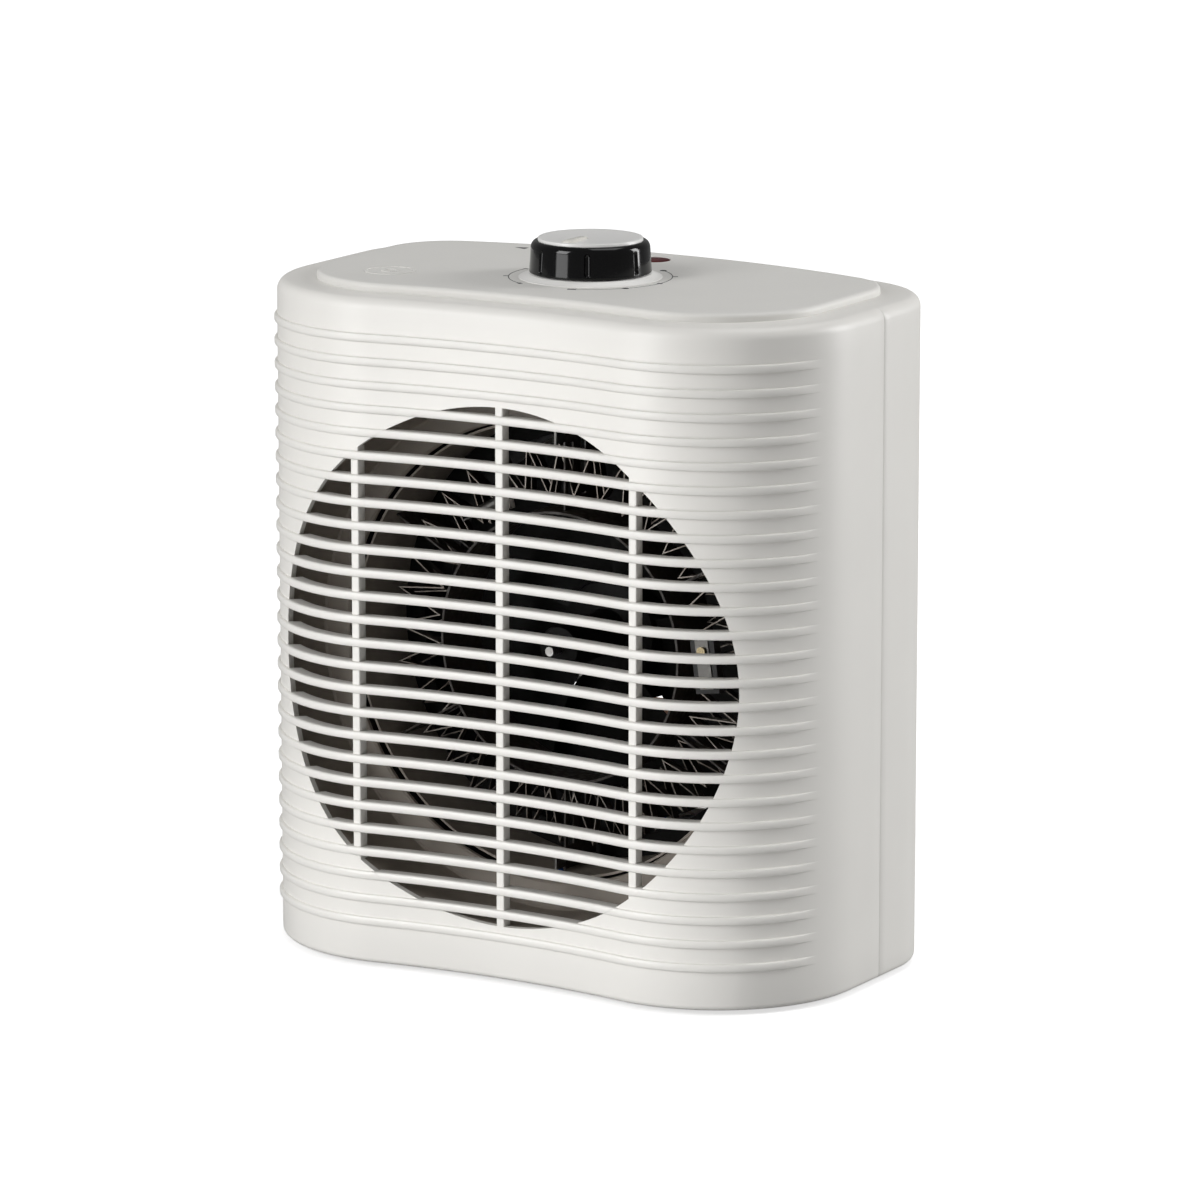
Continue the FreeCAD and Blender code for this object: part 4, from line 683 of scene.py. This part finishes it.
def dialPrint():
    centre, r, line, proud = (knobAxis[0], knobAxis[1]), dial["radius"], dial["line"], dial["proud"]
    half = line / 2

    def tick(angle, inner, outer, wide=0.45 * mm):
        spread = math.degrees(wide / r)
        return printArc(centre, r + inner, r + outer, angle - spread, angle + spread, proud, 4)

    offStart, offEnd, heatStart, heatEnd = -186, -118, -72, 58      # ends of the two arcs, in degrees
    pieces = [printArc(centre, r - half, r + half, offStart, offEnd, proud),
              printArc(centre, r - half, r + half, heatStart, heatEnd, proud, 80)]
    pieces += [tick(offStart, -1.3 * mm, 0.6 * mm), tick(offEnd, -0.7 * mm, 0.7 * mm, 0.9 * mm),
               tick(-152, 0, 1.8 * mm), tick(heatStart, -0.8 * mm, 0.8 * mm, 1.5 * mm),
               tick(-2, -0.9 * mm, 0.9 * mm, 0.7 * mm), tick(30, 0, 1.8 * mm)]
    for angle in (-34, heatEnd):
        x, y = centre[0] + r * math.cos(math.radians(angle)), centre[1] + r * math.sin(math.radians(angle))
        pieces.append(printPatch(spot(x, y, 1.15 * mm), proud))
    x, y = dial["arrow"]
    arrow = [(-3.6, 0), (-2.4, -0.45), (-1.2, -0.9), (0, -1.35), (1.0, -1.4), (1.0, 1.4), (0, 1.35), (-1.2, 0.9),
             (-2.4, 0.45), (-3.55, 0.05)]
    pieces.append(printPatch([(x + a * mm, y + b * mm) for a, b in arrow], proud))
    return merge(pieces, "dialPrint")


def ringMark():
    x, y = dial["ring"]
    r = dial["ringRadius"]
    pieces = [printArc((x, y), r - 0.35 * mm, r + 0.35 * mm, 0, 359.9, 0.18 * mm, 96)]
    pieces += [printArc((x, y), 2.2 * mm, 3.0 * mm, 0, 359.9, 0.18 * mm, 48)]
    return merge(pieces, "ringMark")


# Shapes are made here, each with the CAD nodes it stands for, its body, its slot and its finish.
shapes = [
    (frontCase, ("front_shell",), "case", "case_white", "caseWhite"),
    (rearCase, ("rear_shell",), "case", "case_white", "caseWhite"),
    (outletLouvres, ("front_grille",), "case", "grille_white", "grilleWhite"),
    (intakeLouvres, ("rear_grille",), "case", "grille_white", "grilleWhite"),
    (topPlate, ("top_panel",), "case", "panel_white", "panelWhite"),
    (knobFlare, ("knob_collar",), "case", "panel_white", "flareWhitePaintedLight"),
    (pilotDome, ("pilot_lens",), "case", "lens_red", "lensRed"),
    (rubberPads, ("rubber_feet",), "case", "foot_rubber", "footRubber"),
    (outletDrum, ("outlet_duct",), "case", "duct_grey", "ductPaintedShade"),
    (dialPrint, (), "case", "knob_black", "printInk"),
    (ringMark, (), "case", "panel_white", "panelWhite"),
    (knobSkirt, ("knob_skirt",), "knob", "knob_black", "knobBlack"),
    (knobDisc, ("knob_cap",), "knob", "cap_ivory", "discIvory"),
    (knobPointer, (), "knob", "cap_ivory", "pointerPaintedShade"),
    (fanWheel, ("fan_rotor",), "fan", "fan_grey", "fanPaintedShade"),
]


# A node's sockets by name: an output is linked, and a number, colour or vector is set.
def wire(tree, node, sockets):
    for name, value in sockets.items():
        if isinstance(value, bpy.types.NodeSocket):
            tree.links.new(value, node.inputs[name])
        else:
            node.inputs[name].default_value = value


def addNode(tree, kind, sockets=None, **settings):
    node = tree.nodes.new(kind)
    for name, value in settings.items():
        setattr(node, name, value)
    wire(tree, node, sockets or {})
    return node


def startFinish(name):
    material = bpy.data.materials.new(name)
    material.use_nodes = True
    tree = material.node_tree
    tree.nodes.clear()
    surface = addNode(tree, "ShaderNodeBsdfPrincipled")
    output = addNode(tree, "ShaderNodeOutputMaterial")
    tree.links.new(surface.outputs["BSDF"], output.inputs["Surface"])
    coordinates = addNode(tree, "ShaderNodeTexCoord")
    return material, tree, surface, coordinates.outputs["Object"]


# A noise of so many spots to the metre, from 0 to 1.
def grain(tree, place, scale, detail=2.0, stretch=None):
    if stretch is not None:
        mapping = addNode(tree, "ShaderNodeMapping", {"Vector": place, "Scale": stretch})
        place = mapping.outputs["Vector"]
    noise = addNode(tree, "ShaderNodeTexNoise", {"Vector": place, "Scale": scale, "Detail": detail,
                                                 "Roughness": 0.55})
    return noise.outputs["Fac"]


# A noise spread between two colours or two numbers.
def spreadColour(tree, factor, dark, light, low=0.3, high=0.7):
    ramp = addNode(tree, "ShaderNodeValToRGB", {"Fac": factor})
    ramp.color_ramp.elements[0].position, ramp.color_ramp.elements[1].position = low, high
    ramp.color_ramp.elements[0].color, ramp.color_ramp.elements[1].color = (*dark, 1), (*light, 1)
    return ramp.outputs["Color"]


def spreadNumber(tree, factor, low, high):
    reach = addNode(tree, "ShaderNodeMapRange", {"Value": factor, "From Min": 0.3, "From Max": 0.7,
                                                 "To Min": low, "To Max": high})
    return reach.outputs["Result"]


def shade(colour, amount):
    return tuple(min(1.0, max(0.0, part * amount)) for part in colour)


def raised(tree, height, strength, distance):
    bump = addNode(tree, "ShaderNodeBump", {"Height": height, "Strength": strength, "Distance": distance})
    return bump.outputs["Normal"]


# Moulded plastic: a faint cloud of colour, a fine spark-eroded grain in roughness and relief.
def mouldedPlastic(name, look):
    material, tree, surface, place = startFinish(name)
    colour, vary = look["colour"], look["vary"]
    cloud, fine = grain(tree, place, 30.0, 3.0), grain(tree, place, look.get("grain", 1800.0))
    wire(tree, surface, {"Base Color": spreadColour(tree, cloud, shade(colour, 1 - vary), shade(colour, 1 + vary)),
                         "Roughness": spreadNumber(tree, fine, *look["roughness"]),
                         "IOR": look.get("ior", 1.46), "Specular IOR Level": look.get("specular", 0.5)})
    if look["relief"] > 0:
        wire(tree, surface, {"Normal": raised(tree, fine, look["relief"], look.get("reliefDepth", 0.00005))})
    return material


# Rolled or drawn metal: fine lines along one way, with a slight tint where heat has worked on it.
def drawnMetal(name, look):
    material, tree, surface, place = startFinish(name)
    colour = look["colour"]
    lines, tint = grain(tree, place, 900.0, 2.0, look["stretch"]), grain(tree, place, 60.0, 3.0)
    wire(tree, surface, {"Base Color": spreadColour(tree, tint, look.get("tint", shade(colour, 0.8)), colour),
                         "Roughness": spreadNumber(tree, lines, *look["roughness"]),
                         "Normal": raised(tree, lines, 0.15, 0.00003), "Metallic": look.get("metallic", 1.0)})
    return material


# A deep tinted moulding: a darker and a lighter cloud of its colour under a smooth, dull dome.
def tintedLens(name, look):
    material, tree, surface, place = startFinish(name)
    wire(tree, surface, {"Base Color": spreadColour(tree, grain(tree, place, 260.0), look["deep"], look["colour"]),
                         "Roughness": spreadNumber(tree, grain(tree, place, 900.0), 0.3, 0.4),
                         "IOR": 1.49, "Specular IOR Level": 0.12})
    return material


# Enamelled winding wire: a wave across the coil gives the turns, with painted shade darkening the grooves between
# them.
def woundWire(name, look):
    material, tree, surface, place = startFinish(name)
    turns = addNode(tree, "ShaderNodeTexWave", {"Vector": place, "Scale": 420.0, "Distortion": 0.6, "Detail": 1.0},
                    wave_type="BANDS", bands_direction="X").outputs["Fac"]
    # painted shade: the grooves between the turns are darker than the wire
    groove = shade(look["colour"], 0.45)
    wire(tree, surface, {"Base Color": spreadColour(tree, turns, groove, look["colour"], 0.1, 0.8),
                         "Roughness": spreadNumber(tree, turns, 0.42, 0.24),
                         "Normal": raised(tree, turns, 0.6, 0.0002), "Metallic": 0.85})
    return material


# Pressed sheets in a stack: a wave along the motor's axis gives their edges.
def stackedSheets(name, look):
    material, tree, surface, place = startFinish(name)
    edges = addNode(tree, "ShaderNodeTexWave", {"Vector": place, "Scale": 320.0, "Distortion": 0.2},
                    wave_type="BANDS", bands_direction="Y").outputs["Fac"]
    rust = grain(tree, place, 120.0, 4.0)
    wire(tree, surface, {"Base Color": spreadColour(tree, rust, shade(look["colour"], 0.7), look["colour"]),
                         "Roughness": spreadNumber(tree, edges, 0.6, 0.38),
                         "Normal": raised(tree, edges, 0.4, 0.0002), "Metallic": 0.7})
    return material


# Mica board: pale flakes in a brown binder, with a slight sheen.
def micaBoard(name, look):
    material, tree, surface, place = startFinish(name)
    flakes = addNode(tree, "ShaderNodeTexVoronoi", {"Vector": place, "Scale": 420.0}).outputs["Distance"]
    binder = shade(look["colour"], 0.72)
    wire(tree, surface, {"Base Color": spreadColour(tree, flakes, binder, look["colour"], 0.1, 0.6),
                         "Roughness": spreadNumber(tree, flakes, 0.3, 0.6),
                         "Normal": raised(tree, flakes, 0.3, 0.0001)})
    return material


plastics = {
    "caseWhite": {"colour": (0.80, 0.785, 0.75), "vary": 0.012, "roughness": (0.36, 0.46), "relief": 0.06},
    "grilleWhite": {"colour": (0.80, 0.785, 0.75), "vary": 0.012, "roughness": (0.34, 0.44), "relief": 0.05},
    "panelWhite": {"colour": (0.74, 0.73, 0.70), "vary": 0.012, "roughness": (0.42, 0.54), "relief": 0.10,
                   "grain": 1400.0},
    # the flare is the panel's white plastic painted lighter: painted light offsetting the shade under the knob
    "flareWhitePaintedLight": {"colour": (0.95, 0.94, 0.915), "vary": 0.01, "roughness": (0.3, 0.4), "relief": 0.03},
    "knobBlack": {"colour": (0.003, 0.003, 0.0033), "vary": 0.2, "roughness": (0.07, 0.12), "relief": 0.012,
                  "ior": 1.5, "specular": 0.3},
    "discIvory": {"colour": (0.79, 0.785, 0.77), "vary": 0.01, "roughness": (0.28, 0.34), "relief": 0.0},
    # the pointer is the cap's ivory painted darker beige: painted shade along the raised ridge
    "pointerPaintedShade": {"colour": (0.72, 0.70, 0.65), "vary": 0.02, "roughness": (0.2, 0.3), "relief": 0.02},
    "footRubber": {"colour": (0.035, 0.035, 0.036), "vary": 0.2, "roughness": (0.7, 0.9), "relief": 0.3,
                   "reliefDepth": 0.0001, "grain": 900.0},
    # the duct wall is painted a dark warm grey: painted shade for the shaded inside of the outlet
    "ductPaintedShade": {"colour": (0.30, 0.265, 0.23), "vary": 0.05, "roughness": (0.45, 0.6), "relief": 0.1},
    # the fan is painted near black: painted shade for the dark inside of the heater
    "fanPaintedShade": {"colour": (0.006, 0.0058, 0.0055), "vary": 0.08, "roughness": (0.4, 0.55), "relief": 0.1,
                "specular": 0.1},
    "switchBlack": {"colour": (0.03, 0.03, 0.03), "vary": 0.15, "roughness": (0.4, 0.55), "relief": 0.1},
    "bobbinNylon": {"colour": (0.72, 0.66, 0.52), "vary": 0.05, "roughness": (0.4, 0.55), "relief": 0.1},
    "blockNylon": {"colour": (0.78, 0.75, 0.66), "vary": 0.04, "roughness": (0.4, 0.55), "relief": 0.1},
    "wireBrown": {"colour": (0.12, 0.05, 0.025), "vary": 0.08, "roughness": (0.4, 0.5), "relief": 0.05},
    "wireBlue": {"colour": (0.02, 0.08, 0.26), "vary": 0.08, "roughness": (0.4, 0.5), "relief": 0.05},
    "printInk": {"colour": (0.04, 0.04, 0.042), "vary": 0.1, "roughness": (0.5, 0.6), "relief": 0.05},
    # the fan housing is painted near black: painted shade for the dark inside of the heater
    "housingPaintedShade": {"colour": (0.008, 0.0077, 0.0073), "vary": 0.15, "roughness": (0.5, 0.65), "relief": 0.1,
                     "specular": 0.1},
}
metals = {
    # the ribbon alloy is painted dark: painted shade for the dark inside of the outlet; its tint is heat oxide
    "ribbonPaintedShade": {"colour": (0.27, 0.25, 0.225), "tint": (0.11, 0.09, 0.075), "roughness": (0.28, 0.42),
                    "stretch": (1.0, 0.06, 1.0)},
    "sheetSteel": {"colour": (0.60, 0.60, 0.60), "roughness": (0.25, 0.45), "stretch": (1.0, 0.05, 1.0)},
    # the element shroud's steel is painted a dull warm grey: painted shade for the shaded inside of the outlet
    "shroudPaintedShade": {"colour": (0.38, 0.335, 0.29), "roughness": (0.45, 0.6), "stretch": (1.0, 0.05, 1.0),
                  "metallic": 0.2},
    # the steel of the bimetal, fuse and lugs is painted dim: painted shade for the dark inside of the heater
    "stripSteelPaintedShade": {"colour": (0.20, 0.195, 0.185), "roughness": (0.35, 0.5), "stretch": (1.0, 0.05, 1.0)},
    "screwSteel": {"colour": (0.50, 0.49, 0.47), "roughness": (0.2, 0.36), "stretch": (0.2, 1.0, 0.2)},
    "terminalBrass": {"colour": (0.34, 0.28, 0.17), "roughness": (0.22, 0.4), "stretch": (1.0, 0.1, 1.0)},
}
specials = {
    "lensRed": (tintedLens, {"colour": (0.10, 0.006, 0.009), "deep": (0.04, 0.002, 0.004)}),
    "lampGlass": (tintedLens, {"colour": (0.5, 0.2, 0.1), "deep": (0.3, 0.1, 0.05)}),
    "stackSteel": (stackedSheets, {"colour": (0.30, 0.30, 0.31)}),
    "coilCopper": (woundWire, {"colour": (0.62, 0.25, 0.10)}),
    # the mica is painted near black: painted shade for the dark inside of the heater
    "micaPaintedShade": (micaBoard, {"colour": (0.04, 0.033, 0.027)}),
}
materials = {name: mouldedPlastic(name, look) for name, look in plastics.items()}
materials.update({name: drawnMetal(name, look) for name, look in metals.items()})
materials.update({name: maker(name, look) for name, (maker, look) in specials.items()})
print("finishes made:", len(materials))

# CAD nodes that stay as they are, by finish.
bareNodes = {
    "lampGlass": ("pilot_lamp",),
    "switchBlack": ("selector_switch", "switch_base", "cutout_base"),
    "terminalBrass": ("switch_terminals", "cutout_rivets", "front_bush", "rear_bush"),
    "screwSteel": ("switch_screws", "case_screws", "block_screws", "motor_shaft", "motor_screws"),
    "bobbinNylon": ("switch_spindle", "switch_cam", "coil_bobbin"),
    "footRubber": ("cord_gland",),
    "blockNylon": ("terminal_block",),
    "housingPaintedShade": ("fan_housing",),
    "shroudPaintedShade": ("element_shroud",),
    "micaPaintedShade": ("mica_core", *[f"mica_blade_{number}" for number in range(1, 7)]),
    "stripSteelPaintedShade": ("bimetal_strip", "thermal_fuse", "element_lugs"),
    "sheetSteel": ("front_bridge", "rear_bridge"),
    "stackSteel": ("motor_rotor", "motor_stator"),
    "coilCopper": ("motor_coil", "shading_rings"),
    "wireBrown": ("supply_wire", "element_wire"),
    "wireBlue": ("neutral_wire", "motor_wire"),
    "ribbonPaintedShade": ("front_ribbon", "rear_ribbon"),
}

for maker, nodes, body, slotName, finish in shapes:
    piece = maker()
    piece.data.materials.clear()
    piece.data.materials.append(materials[finish])
    piece.data.polygons.foreach_set("material_index", np.zeros(len(piece.data.polygons), np.int32))
    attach(piece, body)
    if nodes:
        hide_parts(*nodes)
    print("made", piece.name, len(piece.data.polygons), "faces")

for finish, nodes in bareNodes.items():
    for node in nodes:
        held = frame["nodes"][node].data.materials
        if len(held) == 0:
            held.append(materials[finish])
        for index in range(len(held)):
            held[index] = materials[finish]
print("CAD nodes finished:", sum(map(len, bareNodes.values())))


studio = {
    "aim": (0.0012, 0.0, 0.1206), "azimuth": 30.97, "elevation": 11.86, "distance": 2.287, "lens": 201.89,
    "floor": (0.94, 0.94, 0.94), "glowAndShadow": (0.50, 0.82), "world": 0.21,
    "left": {"from": (-0.84, -1.70, 0.98), "to": (0, 0, 0.10), "size": (0.8, 1.1), "power": 25.2},
    "right": {"from": (1.35, 1.15, 0.5), "to": (0, 0, 0.10), "size": (0.5, 1.4), "power": 27.0},
    "top": {"from": (0.3, 0.25, 1.6), "to": (0, 0, 0.2), "size": (0.9, 0.8), "power": 5.3},
    "front": {"from": (-0.30, -0.90, 0.07), "to": (0, 0, 0.04), "size": (0.9, 0.16), "power": 1.5},
    "low": {"from": (0.15, -0.30, 0.006), "to": (0.11, -0.08, 0.15), "size": (0.6, 0.10), "power": 0.30},
    "strip": {"from": (-0.25, -0.56, 0.13), "to": (0, 0, 0.21), "size": (0.26, 0.26), "power": 1.0},
}


# A floor that runs back and curls up behind: height is 0, then a quarter circle, then a wall.
def studioFloor():
    radius, reach, wide = 1.5, 2.2, 9.0
    angle = np.linspace(0, math.pi / 2, 24)
    bend = np.stack([reach + radius * np.sin(angle), radius * (1 - np.cos(angle))], -1)
    run = np.concatenate([[(-6.0, 0.0)], bend, [(reach + radius, 6.0)]])
    x = np.linspace(-wide, wide, 2)
    grid = np.stack([np.repeat(x[None, :], len(run), 0), np.repeat(run[:, :1], 2, 1),
                     np.repeat(run[:, 1:], 2, 1)], -1)
    turn = math.radians(studio["azimuth"])
    spin = np.array([[math.cos(turn), math.sin(turn), 0], [-math.sin(turn), math.cos(turn), 0], [0, 0, 1]])
    piece = addMesh("studioFloor", grid.reshape(-1, 3) @ spin, gridFaces(len(run), 2)[:, ::-1])
    piece.data.polygons.foreach_set("use_smooth", np.ones(len(piece.data.polygons), bool))
    return piece


floor = studioFloor()
material, tree, surface, place = startFinish("paperFloor")
near, far = studio["glowAndShadow"]
away = addNode(tree, "ShaderNodeVectorMath", {"Vector": place}, operation="LENGTH").outputs["Value"]
# the floor's glow is an even white backdrop, dimmed near the object as a painted contact shadow
glowAndShadow = addNode(tree, "ShaderNodeMapRange", {"Value": away, "From Min": 0.15, "From Max": 1.5,
                                            "To Min": near, "To Max": far}).outputs["Result"]
paper = spreadColour(tree, grain(tree, place, 3.0), shade(studio["floor"], 0.99), studio["floor"])
wire(tree, surface, {"Base Color": paper, "Roughness": 0.6, "Emission Color": (1.0, 1.0, 1.0, 1),
                     "Emission Strength": glowAndShadow})
floor.data.materials.append(material)
floor.visible_diffuse = floor.visible_glossy = False        # it lights nothing and is mirrored in nothing


def softLight(name, light):
    data = bpy.data.lights.new(name, "AREA")
    data.shape = "RECTANGLE"
    data.size, data.size_y = light["size"]
    data.energy = light["power"]
    lamp = bpy.data.objects.new(name, data)
    lamp.location = light["from"]
    lamp.rotation_euler = (Vector(light["to"]) - Vector(light["from"])).to_track_quat("-Z", "Y").to_euler()
    bpy.context.scene.collection.objects.link(lamp)
    return lamp


for name in ("left", "right", "top"):
    softLight(name + "Softbox", studio[name])
strip = softLight("knobStrip", studio["strip"])             # a narrow light that is only seen mirrored in the knob
strip.visible_camera = strip.visible_diffuse = False
for name in ("front", "low"):
    fill = softLight(name + "Fill", studio[name])
    fill.visible_camera = fill.visible_glossy = False

world = bpy.data.worlds.new("studioAir")
world.use_nodes = True
world.node_tree.nodes["Background"].inputs["Color"].default_value = (1.0, 1.0, 1.0, 1)
world.node_tree.nodes["Background"].inputs["Strength"].default_value = studio["world"]
bpy.context.scene.world = world
bpy.context.scene.view_settings.view_transform = "Standard"

view = bpy.data.cameras.new("studioCamera")
view.lens, view.sensor_width, view.clip_end = studio["lens"], 36.0, 30.0
eye = bpy.data.objects.new("studioCamera", view)
azimuth, elevation = math.radians(studio["azimuth"]), math.radians(studio["elevation"])
towards = Vector((math.sin(azimuth) * math.cos(elevation), -math.cos(azimuth) * math.cos(elevation),
                  math.sin(elevation)))
eye.location = Vector(studio["aim"]) + towards * studio["distance"]
eye.rotation_euler = (-towards).to_track_quat("-Z", "Y").to_euler()
bpy.context.scene.collection.objects.link(eye)
bpy.context.scene.camera = eye
print("studio set")
